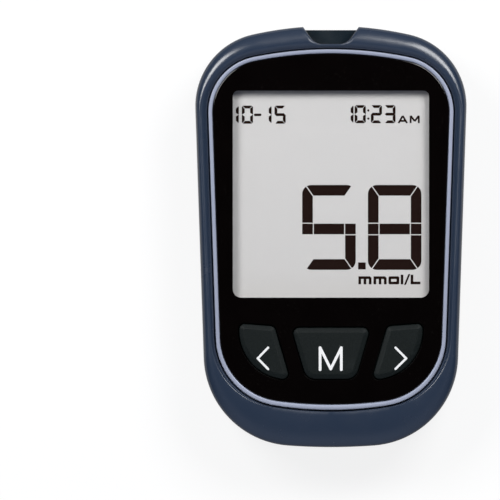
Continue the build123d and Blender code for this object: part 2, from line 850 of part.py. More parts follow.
# Walls of the compartment, with a channel each side that the hooks of the door run in.
with BuildPart() as compartment:
    with BuildSketch(Plane.XY.offset(lip_bottom)):
        with Locations((0, compartment_foot - compartment_wall)):
            Rectangle(
                2 * (compartment_half + compartment_wall),
                compartment_head - compartment_foot + 2 * compartment_wall,
                align=(Align.CENTER, Align.MIN),
            )
    extrude(amount=ceiling_top - lip_bottom)
    with BuildSketch(Plane.XY.offset(lip_bottom)):
        with Locations((0, rail_head + rail_wall)):
            Rectangle(
                2 * rail_half,
                rail_head + rail_wall - compartment_foot + compartment_wall,
                align=(Align.CENTER, Align.MAX),
            )
        with Locations((0, compartment_head + compartment_wall)):
            Rectangle(2 * compartment_half, length, align=(Align.CENTER, Align.MIN), mode=Mode.SUBTRACT)
    extrude(amount=channel_top + compartment_wall - lip_bottom)
    with BuildSketch(Plane.XY.offset(lip_bottom)):
        with Locations((0, (compartment_foot + compartment_head) / 2)):
            Rectangle(2 * compartment_half, compartment_head - compartment_foot)
    extrude(amount=ceiling_bottom - lip_bottom, mode=Mode.SUBTRACT)
    with BuildSketch(Plane.XY.offset(lip_bottom)):
        with Locations((0, rail_head)):
            Rectangle(2 * (door_half + door_gap), length, align=(Align.CENTER, Align.MAX))
            Rectangle(
                2 * (compartment_half + compartment_wall),
                length,
                align=(Align.CENTER, Align.MAX),
                mode=Mode.SUBTRACT,
            )
    extrude(amount=channel_top - lip_bottom, mode=Mode.SUBTRACT)
    with BuildSketch(Plane.XY.offset(lip_bottom)):
        with Locations((0, compartment_head + compartment_wall)):
            Rectangle(2 * lip_half, length, align=(Align.CENTER, Align.MAX))
            Rectangle(2 * compartment_half, length, align=(Align.CENTER, Align.MAX), mode=Mode.SUBTRACT)
        with Locations((0, compartment_foot - compartment_wall)):
            Rectangle(length, length, align=(Align.CENTER, Align.MAX), mode=Mode.SUBTRACT)
    extrude(amount=lip_top - lip_bottom)
    with BuildSketch(Plane.XY.offset(ceiling_bottom)):
        with Locations(*tail_places):
            Rectangle(tail_width + 2 * fit_gap, plate_thickness + 2 * fit_gap)
    extrude(amount=ceiling_top - ceiling_bottom, mode=Mode.SUBTRACT)
    add(rear_form(door_wall + door_gap, ceiling_top + wall), mode=Mode.INTERSECT)

with BuildPart() as rear_housing:
    add(rear_form(0, parting_height))
    chamfer(rear_housing.faces().sort_by(Axis.Z)[-1].edges(), seam_chamfer)
    add(rear_form(wall, parting_height, bands=1), mode=Mode.SUBTRACT)
    # lips that locate the front housing
    with BuildSketch(Plane.XY.offset(parting_height)):
        add(wall_zone([(0, 0)], length, lip_length, wall - lip_thickness, wall))
    extrude(amount=lip_height)
    # snap tongues, with a nose along their outer edge
    with BuildSketch(Plane.XY.offset(parting_height)):
        add(wall_zone(tongue_places, tongue_width, wall_reach, wall - lip_thickness, wall))
    extrude(amount=tongue_height)
    with BuildSketch(Plane.XY.offset(parting_height + tongue_height)):
        add(wall_zone(tongue_places, tongue_width, wall_reach, wall - lip_thickness - tongue_nose, wall))
    extrude(amount=-tongue_nose_height)
    # doorway through the rear face and the chin
    with BuildSketch():
        add(inset(door_outline.sketch, -door_gap))
    extrude(amount=door_end_height + door_gap, mode=Mode.SUBTRACT)
    add(compartment.part)
    # screw posts with sunk heads
    with BuildSketch(Plane.XY.offset(wall / 2)):
        with Locations(*case_screw_places):
            Circle(post_radius)
    extrude(amount=post_height - wall / 2)
    with BuildSketch():
        with Locations(*case_screw_places):
            Circle(screw_head_radius + screw_clearance)
    extrude(amount=head_recess, mode=Mode.SUBTRACT)
    with BuildSketch():
        with Locations(*case_screw_places):
            Circle(pilot_radius + screw_clearance)
    extrude(amount=post_height, mode=Mode.SUBTRACT)
    # stiffening ribs between the compartment and the strip port
    with BuildSketch(Plane.XY.offset(wall / 2)):
        with Locations((0, rail_head + rail_wall)):
            with GridLocations(rail_half, 0, 3, 1):
                Rectangle(rib_thickness, half_length - rail_head - 4 * wall, align=(Align.CENTER, Align.MIN))
    extrude(amount=wall / 2 + rib_height)
    with BuildSketch():
        add(relief_face)
    extrude(amount=thickness, mode=Mode.SUBTRACT)

# ---- Battery door ----
with BuildPart() as battery_door:
    add(rear_form(0, door_end_height))
    add(rear_form(door_wall, door_end_height), mode=Mode.SUBTRACT)
    with BuildSketch():
        add(door_outline.sketch)
    extrude(amount=door_end_height, mode=Mode.INTERSECT)
    # hooked ribs that hold the door in the channels, and run past its end over the skin of the rear housing
    hook_foot = -half_length + rear_edge_radius + 2 * door_gap
    for side in (-1, 1):
        with BuildSketch(Plane.XZ.offset(-hook_foot)):
            with BuildLine():
                Polyline(
                    (side * (hook_half + hook_thickness), door_wall / 2),
                    (side * (hook_half + hook_thickness), hook_top),
                    (side * (lip_half - hook_overlap), hook_top),
                    (side * (lip_half - hook_overlap), hook_bottom),
                    (side * hook_half, hook_bottom),
                    (side * hook_half, door_wall / 2),
                    close=True,
                )
            make_face()
        extrude(amount=-(door_head + hook_reach - hook_foot))
    with BuildSketch():
        Rectangle(length, 2 * length)
        add(door_outline.sketch, mode=Mode.SUBTRACT)
    extrude(amount=wall + door_gap, mode=Mode.SUBTRACT)
    # thumb grip
    with BuildSketch():
        with Locations((0, door_head - door_corner - grip_pitch * (grip_count + 1) / 2)):
            with GridLocations(0, grip_pitch, 1, grip_count):
                Rectangle(grip_width, grip_pitch / 2)
    extrude(amount=grip_depth, mode=Mode.SUBTRACT)


# ---- Screws, driven from behind ----
with BuildPart() as housing_screws:
    with BuildSketch(Plane.XY.offset(head_recess)):
        with Locations(*case_screw_places):
            Circle(screw_head_radius)
    extrude(amount=-screw_head_height)
    with BuildSketch(Plane.XY.offset(head_recess)):
        with Locations(*case_screw_places):
            Circle(pilot_radius)
    extrude(amount=screw_length)

# ---- Labels and files ----
front_housing.part.label = "front_housing"
export_step(front_housing.part, "parts/front_housing.step")

rear_housing.part.label = "rear_housing"
export_step(rear_housing.part, "parts/rear_housing.step")

battery_door.part.label = "battery_door"
export_step(battery_door.part, "parts/battery_door.step")

trim_ring.part.label = "trim_ring"
export_step(trim_ring.part, "parts/trim_ring.step")

display_lens.part.label = "display_lens"
export_step(display_lens.part, "parts/display_lens.step")

lens_tape.part.label = "lens_tape"
export_step(lens_tape.part, "parts/lens_tape.step")

left_button.part.label = "left_button"
export_step(left_button.part, "parts/left_button.step")

memory_button.part.label = "memory_button"
export_step(memory_button.part, "parts/memory_button.step")

right_button.part.label = "right_button"
export_step(right_button.part, "parts/right_button.step")

keypad_mat.part.label = "keypad_mat"
export_step(keypad_mat.part, "parts/keypad_mat.step")

lcd_polariser.part.label = "lcd_polariser"
export_step(lcd_polariser.part, "parts/lcd_polariser.step")

lcd_front_glass.part.label = "lcd_front_glass"
export_step(lcd_front_glass.part, "parts/lcd_front_glass.step")

lcd_rear_glass.part.label = "lcd_rear_glass"
export_step(lcd_rear_glass.part, "parts/lcd_rear_glass.step")

lcd_reflector.part.label = "lcd_reflector"
export_step(lcd_reflector.part, "parts/lcd_reflector.step")

lcd_frame.part.label = "lcd_frame"
export_step(lcd_frame.part, "parts/lcd_frame.step")

zebra_strip.part.label = "zebra_strip"
export_step(zebra_strip.part, "parts/zebra_strip.step")

circuit_board.part.label = "circuit_board"
export_step(circuit_board.part, "parts/circuit_board.step")

microcontroller.part.label = "microcontroller"
export_step(microcontroller.part, "parts/microcontroller.step")

bluetooth_module.part.label = "bluetooth_module"
export_step(bluetooth_module.part, "parts/bluetooth_module.step")

memory_chip.part.label = "memory_chip"
export_step(memory_chip.part, "parts/memory_chip.step")

crystal.part.label = "crystal"
export_step(crystal.part, "parts/crystal.step")

capacitors.part.label = "capacitors"
export_step(capacitors.part, "parts/capacitors.step")

buzzer.part.label = "buzzer"
export_step(buzzer.part, "parts/buzzer.step")

strip_connector.part.label = "strip_connector"
export_step(strip_connector.part, "parts/strip_connector.step")

strip_contacts.part.label = "strip_contacts"
export_step(strip_contacts.part, "parts/strip_contacts.step")

left_cell.part.label = "left_cell"
export_step(left_cell.part, "parts/left_cell.step")

right_cell.part.label = "right_cell"
export_step(right_cell.part, "parts/right_cell.step")

positive_plate.part.label = "positive_plate"
export_step(positive_plate.part, "parts/positive_plate.step")

negative_leaf.part.label = "negative_leaf"
export_step(negative_leaf.part, "parts/negative_leaf.step")

bridge_leaf.part.label = "bridge_leaf"
export_step(bridge_leaf.part, "parts/bridge_leaf.step")

housing_screws.part.label = "housing_screws"
export_step(housing_screws.part, "parts/housing_screws.step")
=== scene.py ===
import json
from math import atan2, cos, hypot, pi, radians, sin, sqrt, tan

import bmesh
import bpy
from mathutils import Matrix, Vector
from mathutils.bvhtree import BVHTree


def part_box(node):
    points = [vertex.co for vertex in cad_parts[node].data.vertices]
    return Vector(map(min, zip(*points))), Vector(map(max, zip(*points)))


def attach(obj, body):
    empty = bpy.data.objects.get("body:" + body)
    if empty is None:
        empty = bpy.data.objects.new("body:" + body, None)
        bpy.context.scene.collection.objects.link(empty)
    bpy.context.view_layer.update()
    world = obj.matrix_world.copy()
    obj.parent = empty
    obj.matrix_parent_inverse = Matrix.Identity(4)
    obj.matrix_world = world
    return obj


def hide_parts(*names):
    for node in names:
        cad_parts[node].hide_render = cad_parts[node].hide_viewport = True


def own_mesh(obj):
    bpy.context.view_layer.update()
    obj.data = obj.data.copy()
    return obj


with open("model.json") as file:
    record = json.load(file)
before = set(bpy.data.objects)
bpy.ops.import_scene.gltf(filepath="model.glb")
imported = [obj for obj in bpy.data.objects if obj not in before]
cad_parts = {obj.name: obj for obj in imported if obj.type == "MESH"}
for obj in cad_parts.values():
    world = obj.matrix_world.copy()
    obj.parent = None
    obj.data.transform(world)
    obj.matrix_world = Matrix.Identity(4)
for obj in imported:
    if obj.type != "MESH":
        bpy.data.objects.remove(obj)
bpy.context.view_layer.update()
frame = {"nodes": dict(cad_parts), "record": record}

# A blood glucose meter lying on its back, with its strip port towards +Y. Outlines, profiles and
# heights are in millimetres, and a mesh is scaled to metres when it is made.

nodes = frame["nodes"]
scene = bpy.context.scene
MM = 0.001

# ---- Case outline: top, bottom, half widths GAUGE above and below the middle, crown and chin
# radii, upper and lower corner radii ----
GAUGE = 15.0
CASE = [47.24, -47.0, 29.87, 28.87, 80.5, 132.0, 16.4, 20.3]
RING = [42.02, -38.69, 27.02, 26.02, 86.8, 80.0, 12.6, 15.7]
LENS = [41.10, -37.49, 26.10, 25.10, 85.88, 92.0, 11.68, 14.78]

# ---- Heights above the rear face ----
CREST = 22.0
RIM_START = 20.0
WALL_HEAD = 17.8
GROOVE_DROP = 1.1
PARTING = 10.5
REAR_RADIUS = 5.0
DOOR_END = 8.2
RING_TOP = 20.95
LENS_TOP = 20.6
LENS_BOTTOM = 19.1
DECK_TOP = 18.8
DISPLAY_TOP = 17.5
KEY_TOP = 20.9
FLANGE_TOP = 17.5
FLANGE_BOTTOM = 16.6
SHELF_TOP = 15.6

# ---- Clearances and edges ----
RING_GROOVE = 0.3
LENS_GAP = 0.1
KEY_GAP = 0.3
SEAM = 0.25
SKIN = 0.9
SKIN_GAP = 0.02
DOOR_GAP = 0.2
PANE_GAP = 0.01
FAR = 60.0  # beyond every edge of the meter
ABOVE = 30.0  # higher than all of it

# ---- Window, keys and port ----
WINDOW_HALF = 21.95
WINDOW_TOP = 32.74
WINDOW_FOOT = -13.56
WINDOW_CORNERS = (1.9, 1.9, 1.2, 1.2)
KEY_ROW_TOP = -20.29
KEY_FOOT = -31.74
PORT_FLOOR = 43.2
PORT_HALF = 6.2
PORT_SPREAD = 1 / tan(radians(55.0))
PORT_WIDTH_AT = 47.0
PORT_REACH = 7.6
SHELF_END = 46.3
SCREW_X = 21.0
SCREW_Y = -30.3
SCREW_WELL = 2.0
DOOR_HEAD = 6.5
DOOR_HALF = 13.8
DOOR_CORNER = 1.5


# ---- Outlines ----
def grown(shape, amount):
    """A case outline moved outwards, or inwards where the amount is negative."""
    lean = hypot(1, (shape[2] - shape[3]) / (2 * GAUGE))
    return [size + amount * way for size, way in zip(shape, (1, -1, lean, lean, 1, 1, 1, 1))]


def blended(outer, inner, share):
    """Outline part of the way from one shape to another."""
    return [a + (b - a) * share for a, b in zip(outer, inner)]


def arc(centre, radius, start, end, steps):
    """Points along an arc, without its last one."""
    angles = [start + (end - start) * step / steps for step in range(steps)]
    return [centre + radius * Vector((cos(angle), sin(angle))) for angle in angles]


def shield(shape):
    """Points of a case outline, anticlockwise from the middle of the chin, as many for every shape."""
    top, bottom, high, low, crown_radius, chin_radius, high_corner, low_corner = shape
    middle = (high + low) / 2
    slope = (high - low) / (2 * GAUGE)
    lean = hypot(1, slope)
    out = Vector((1, -slope)) / lean
    along = Vector((slope, 1)) / lean
    crown = Vector((0, top - crown_radius))
    chin = Vector((0, bottom + chin_radius))

    def corner_centre(radius, end, end_radius, way):
        base = out * (middle / lean - radius)
        reach = (base - end).dot(along)
        rest = (base - end).length_squared - (end_radius - radius) ** 2
        return base + along * (way * sqrt(reach**2 - rest) - reach)

    upper = corner_centre(high_corner, crown, crown_radius, 1)
    lower = corner_centre(low_corner, chin, chin_radius, -1)
    side = atan2(out.y, out.x)
    upper_turn = atan2(*(upper - crown).yx)
    lower_turn = atan2(*(lower - chin).yx)
    side_foot = lower + out * low_corner
    side_head = upper + out * high_corner
    right = arc(chin, chin_radius, -pi / 2, lower_turn, 20)
    right += arc(lower, low_corner, lower_turn, side, 24)
    right += [side_foot.lerp(side_head, step / 14) for step in range(14)]
    right += arc(upper, high_corner, side, upper_turn, 22)
    right += arc(crown, crown_radius, upper_turn, pi / 2, 20)
    right.append(Vector((0, top)))
    left = [Vector((-point.x, point.y)) for point in reversed(right[1:-1])]
    return right + left


def clip(points, place, keep):
    """The part of a convex polygon on the side of a line that keep points to."""
    kept = []
    for here, there in zip(points, points[1:] + points[:1]):
        near, far = (here - place).dot(keep), (there - place).dot(keep)
        if near >= 0:
            kept.append(here)
        if near * far < 0:
            kept.append(here.lerp(there, near / (near - far)))
    return kept


def cut_down(points, lines, shift=0.0):
    """A convex polygon cut by lines, each a place and the way it keeps, moved inwards by the shift."""
    for place, keep in lines:
        points = clip(points, place + keep * shift, keep)
    return points


def softened(corners, radii, steps=8):
    """Polygon with each corner rounded by its own radius."""
    outline = []
    for index, (corner, radius) in enumerate(zip(corners, radii)):
        if not radius:
            outline.append(corner)
            continue
        back = (corners[index - 1] - corner).normalized()
        ahead = (corners[(index + 1) % len(corners)] - corner).normalized()
        half = back.angle(ahead) / 2
        centre = corner + (back + ahead).normalized() * radius / sin(half)
        start = corner + back * radius / tan(half) - centre
        sweep = start.angle_signed(corner + ahead * radius / tan(half) - centre)
        first = atan2(start.y, start.x)
        outline += arc(centre, radius, first, first - sweep, steps)
        outline.append(corner + ahead * radius / tan(half))
    return outline


def rolled(core, radius, steps=144):
    """Outline that a disc of that radius draws as it rolls round a convex polygon."""
    loop = []
    for step in range(steps):
        out = Vector((cos(2 * pi * step / steps), sin(2 * pi * step / steps)))
        loop.append(max(core, key=out.dot) + out * radius)
    return loop


def block(left, right, foot, head):
    """Corners of a rectangle, anticlockwise."""
    return [Vector((left, foot)), Vector((right, foot)), Vector((right, head)), Vector((left, head))]


def circle(x, y, radius, steps=48):
    return arc(Vector((x, y)), radius, 0, 2 * pi, steps)


# ---- Meshes ----
def made(name, points, faces):
    """Object of that name from points in millimetres, with its faces turned outwards."""
    mesh = bpy.data.meshes.new(name)
    mesh.from_pydata([Vector(point) * MM for point in points], [], faces)
    work = bmesh.new()
    work.from_mesh(mesh)
    bmesh.ops.recalc_face_normals(work, faces=work.faces)
    work.to_mesh(mesh)
    work.free()
    piece = bpy.data.objects.new(name, mesh)
    scene.collection.objects.link(piece)
    return piece


def raised(outline, height):
    return [(point.x, point.y, height) for point in outline]


def stacked(name, rings, tube=False):
    """Solid through rings of one count; a tube joins its last ring to the first, else its ends are closed."""
    count = len(rings[0])
    faces = []
    for level in range(len(rings) - (0 if tube else 1)):
        low = level * count
        high = (level + 1) % len(rings) * count
        for here in range(count):
            there = (here + 1) % count
            faces.append((low + here, low + there, high + there, high + here))
    if not tube:
        faces.append(tuple(reversed(range(count))))
        faces.append(tuple(range(len(rings) * count - count, len(rings) * count)))
    return made(name, [point for ring in rings for point in ring], faces)


def prism(outline, foot, head, name="tool"):
    return stacked(name, [raised(outline, foot), raised(outline, head)])


def settle(piece):
    """Turns a piece's modifiers into its mesh."""
    graph = bpy.context.evaluated_depsgraph_get()
    mesh = bpy.data.meshes.new_from_object(piece.evaluated_get(graph))
    piece.modifiers.clear()
    piece.data = mesh
    mesh.name = piece.name
    return piece


def split(piece):
    """Parts each four-sided face in two, so that what a cut leaves of it is flat."""
    work = bmesh.new()
    work.from_mesh(piece.data)
    bmesh.ops.triangulate(work, faces=[face for face in work.faces if len(face.verts) == 4])
    work.to_mesh(piece.data)
    work.free()


def worked(piece, *steps):
    """Adds to, cuts or trims a solid with other solids, in turn, and removes those."""
    split(piece)
    for operation, tool in steps:
        split(tool)
        modifier = piece.modifiers.new("work", "BOOLEAN")
        modifier.operation = operation
        modifier.solver = "MANIFOLD"
        modifier.object = tool
    settle(piece)
    for operation, tool in steps:
        bpy.data.objects.remove(tool)
    return piece


def tidied(piece, angle=32):
    """Merges what meets, and shades it smooth between its edges, with its flats kept flat."""
    work = bmesh.new()
    work.from_mesh(piece.data)
    bmesh.ops.remove_doubles(work, verts=work.verts, dist=0.004 * MM)
    bmesh.ops.dissolve_degenerate(work, edges=work.edges, dist=0.004 * MM)
    work.to_mesh(piece.data)
    work.free()
    piece.data.shade_smooth()
    piece.data.set_sharp_from_angle(angle=radians(angle))
    weighted = piece.modifiers.new("weighted", "WEIGHTED_NORMAL")
    weighted.keep_sharp = True
    return settle(piece)


def from_cad(node, name):
    """Merged copy of a CAD node's mesh as a new piece."""
    piece = bpy.data.objects.new(name, nodes[node].data.copy())
    scene.collection.objects.link(piece)
    work = bmesh.new()
    work.from_mesh(piece.data)
    bmesh.ops.remove_doubles(work, verts=work.verts, dist=0.001 * MM)
    work.to_mesh(piece.data)
    work.free()
    normals = piece.data.attributes.get("custom_normal")
    if normals:
        piece.data.attributes.remove(normals)
    return piece


def joined(name, parts):
    """One object from several."""
    work = bmesh.new()
    for part in parts:
        work.from_mesh(part.data)
        bpy.data.objects.remove(part)
    mesh = bpy.data.meshes.new(name)
    work.to_mesh(mesh)
    work.free()
    piece = bpy.data.objects.new(name, mesh)
    scene.collection.objects.link(piece)
    return piece


def repeated(name, original, count, start, offset):
    """Row of copies of a piece, made by Geometry Nodes and turned to one mesh."""
    tree = bpy.data.node_groups.new(name, "GeometryNodeTree")
    face = tree.interface
    sockets = {
        "Original": ("NodeSocketObject", original),
        "Count": ("NodeSocketInt", count),
        "Start": ("NodeSocketVector", Vector(start) * MM),
        "Offset": ("NodeSocketVector", Vector(offset) * MM),
        "Finish": ("NodeSocketMaterial", original.data.materials[0] if original.data.materials else None),
    }
    keys = {}
    for label, (kind, value) in sockets.items():
        keys[label] = face.new_socket(label, in_out="INPUT", socket_type=kind).identifier
    face.new_socket("Geometry", in_out="OUTPUT", socket_type="NodeSocketGeometry")
    inputs = tree.nodes.new("NodeGroupInput").outputs
    row = tree.nodes.new("GeometryNodeMeshLine")
    info = tree.nodes.new("GeometryNodeObjectInfo")
    place = tree.nodes.new("GeometryNodeInstanceOnPoints")
    real = tree.nodes.new("GeometryNodeRealizeInstances")
    finish = tree.nodes.new("GeometryNodeSetMaterial")
    result = tree.nodes.new("NodeGroupOutput").inputs
    for source, target in (
        (inputs["Count"], row.inputs["Count"]),
        (inputs["Start"], row.inputs["Start Location"]),
        (inputs["Offset"], row.inputs["Offset"]),
        (inputs["Original"], info.inputs["Object"]),
        (row.outputs["Mesh"], place.inputs["Points"]),
        (info.outputs["Geometry"], place.inputs["Instance"]),
        (place.outputs["Instances"], real.inputs["Geometry"]),
        (real.outputs["Geometry"], finish.inputs["Geometry"]),
        (inputs["Finish"], finish.inputs["Material"]),
        (finish.outputs["Geometry"], result["Geometry"]),
    ):
        tree.links.new(source, target)
    piece = bpy.data.objects.new(name, bpy.data.meshes.new(name))
    scene.collection.objects.link(piece)
    modifier = piece.modifiers.new("repeat", "NODES")
    modifier.node_group = tree
    for label, (kind, value) in sockets.items():
        if value is not None:
            modifier[keys[label]] = value
    settle(piece)
    bpy.data.objects.remove(original)
    return piece


# ---- Shader groups that the finishes share ----
def paint(red, green, blue):
    """Linear colour from its eight-bit display values."""
    share = [value / 255 for value in (red, green, blue)]
    return [v / 12.92 if v <= 0.04045 else ((v + 0.055) / 1.055) ** 2.4 for v in share] + [1]


def shader_group(name, inputs, outputs):
    """Empty node group with named sockets, and its input and output nodes."""
    tree = bpy.data.node_groups.new(name, "ShaderNodeTree")
    for label, kind, value in inputs:
        socket = tree.interface.new_socket(label, in_out="INPUT", socket_type=kind)
        if value is not None:
            socket.default_value = value
    for label in outputs:
        tree.interface.new_socket(label, in_out="OUTPUT", socket_type="NodeSocketFloat")
    return tree, tree.nodes.new("NodeGroupInput").outputs, tree.nodes.new("NodeGroupOutput").inputs


def noise(tree, vector, scale, detail, roughness=0.5):
    node = tree.nodes.new("ShaderNodeTexNoise")
    node.inputs["Detail"].default_value = detail
    node.inputs["Roughness"].default_value = roughness
    tree.links.new(vector, node.inputs["Vector"])
    tree.links.new(scale, node.inputs["Scale"])
    return node.outputs["Fac"]


def sums(tree, operation, *values):
    """Output of a Math node whose inputs are sockets or numbers."""
    node = tree.nodes.new("ShaderNodeMath")
    node.operation = operation
    for slot, value in zip(node.inputs, values):
        if isinstance(value, (int, float)):
            slot.default_value = value
        else:
            tree.links.new(value, slot)
    return node.outputs[0]


def stretched(tree, value, low, high, to_low=0.0, to_high=1.0):
    """Output of a clamped Map Range node."""
    node = tree.nodes.new("ShaderNodeMapRange")
    for label, number in (("From Min", low), ("From Max", high), ("To Min", to_low), ("To Max", to_high)):
        node.inputs[label].default_value = number
    tree.links.new(value, node.inputs["Value"])
    return node.outputs["Result"]


VECTOR = ("Vector", "NodeSocketVector", None)
grain_group, come, go = shader_group(
    "moulded_grain",
    [VECTOR, ("Fineness", "NodeSocketFloat", 6000.0), ("Cloud size", "NodeSocketFloat", 160.0)],
    ["Height", "Cloud", "Speck"],
)
fine = noise(grain_group, come["Vector"], come["Fineness"], 2.0)
coarse = noise(grain_group, come["Vector"], sums(grain_group, "MULTIPLY", come["Fineness"], 0.37), 2.0)
grain_group.links.new(sums(grain_group, "ADD", fine, coarse), go["Height"])
cloud = noise(grain_group, come["Vector"], come["Cloud size"], 4.0)
grain_group.links.new(stretched(grain_group, cloud, 0.3, 0.7), go["Cloud"])
grain_group.links.new(stretched(grain_group, fine, 0.35, 0.75), go["Speck"])

wear_group, come, go = shader_group(
    "edge_wear",
    [VECTOR, ("Amount", "NodeSocketFloat", 0.3), ("Patch size", "NodeSocketFloat", 400.0)],
    ["Mask"],
)
geometry = wear_group.nodes.new("ShaderNodeNewGeometry")
edges = stretched(wear_group, geometry.outputs["Pointiness"], 0.53, 0.62)
patches = stretched(wear_group, noise(wear_group, come["Vector"], come["Patch size"], 5.0, 0.6), 0.42, 0.6)
worn = sums(wear_group, "MULTIPLY", edges, patches)
wear_group.links.new(sums(wear_group, "MULTIPLY", worn, come["Amount"]), go["Mask"])

dust_group, come, go = shader_group(
    "settled_dust",
    [VECTOR, ("Amount", "NodeSocketFloat", 0.1), ("Speck size", "NodeSocketFloat", 2500.0)],
    ["Mask"],
)
specks = stretched(dust_group, noise(dust_group, come["Vector"], come["Speck size"], 3.0, 0.7), 0.62, 0.72)
patch_size = sums(dust_group, "MULTIPLY", come["Speck size"], 0.05)
drifts = stretched(dust_group, noise(dust_group, come["Vector"], patch_size, 3.0), 0.45, 0.65)
settled = sums(dust_group, "MULTIPLY", specks, drifts)
dust_group.links.new(sums(dust_group, "MULTIPLY", settled, come["Amount"]), go["Mask"])


# ---- Finishes ----
def mixed(tree, share, first, second):
    """Colour output that goes from the first colour to the second."""
    node = tree.nodes.new("ShaderNodeMix")
    node.data_type = "RGBA"
    for slot, value in ((node.inputs[0], share), (node.inputs[6], first), (node.inputs[7], second)):
        if isinstance(value, (list, float)):
            slot.default_value = value
        else:
            tree.links.new(value, slot)
    return node.outputs[2]


def blank(name):
    """New material with its node tree, shader and output."""
    material = bpy.data.materials.new(name)
    material.use_nodes = True
    return material, material.node_tree, material.node_tree.nodes["Principled BSDF"]


def placed_group(tree, group, vector, **values):
    node = tree.nodes.new("ShaderNodeGroup")
    node.node_tree = group
    tree.links.new(vector, node.inputs["Vector"])
    for label, value in values.items():
        node.inputs[label.replace("_", " ")].default_value = value
    return node.outputs


def finish(
    name,
    colour,
    roughness,
    second=None,
    clouds=0.5,
    speck=None,
    specks=0.0,
    swing=0.05,
    fineness=6000.0,
    cloud_size=160.0,
    depth=0.003,
    worn=None,
    wear=0.0,
    dust=0.0,
    metallic=0.0,
    specular=0.5,
    recess=None,
):
    """Finish with a moulded grain and slow changes of colour, and wear, dust or painted shade on marked faces
    where asked for.
    """
    material, tree, shader = blank(name)
    place = tree.nodes.new("ShaderNodeTexCoord").outputs["Object"]
    grain = placed_group(tree, grain_group, place, Fineness=fineness, Cloud_size=cloud_size)
    tone = mixed(tree, sums(tree, "MULTIPLY", grain["Cloud"], clouds), colour, second or colour)
    if specks:
        tone = mixed(tree, sums(tree, "MULTIPLY", grain["Speck"], specks), tone, speck)
    rough = stretched(tree, grain["Cloud"], 0.0, 1.0, roughness - swing, roughness + swing)
    # Painted shade: marked faces take a darker colour that stands in for the shade in a recess, not a
    # different paint.
    if recess:
        inside = tree.nodes.new("ShaderNodeAttribute")
        inside.attribute_name = "recess"
        tone = mixed(tree, inside.outputs["Fac"], tone, recess)
    if wear:
        mask = placed_group(tree, wear_group, place, Amount=wear)["Mask"]
        tone = mixed(tree, mask, tone, worn)
    if dust:
        mask = placed_group(tree, dust_group, place, Amount=dust)["Mask"]
        tone = mixed(tree, mask, tone, paint(176, 172, 165))
        rough = sums(tree, "ADD", rough, sums(tree, "MULTIPLY", mask, 0.4))
    bump = tree.nodes.new("ShaderNodeBump")
    bump.inputs["Distance"].default_value = depth * MM
    tree.links.new(grain["Height"], bump.inputs["Height"])
    tree.links.new(tone, shader.inputs["Base Color"])
    tree.links.new(rough, shader.inputs["Roughness"])
    tree.links.new(bump.outputs["Normal"], shader.inputs["Normal"])
    shader.inputs["Metallic"].default_value = metallic
    shader.inputs["Specular IOR Level"].default_value = specular
    return material


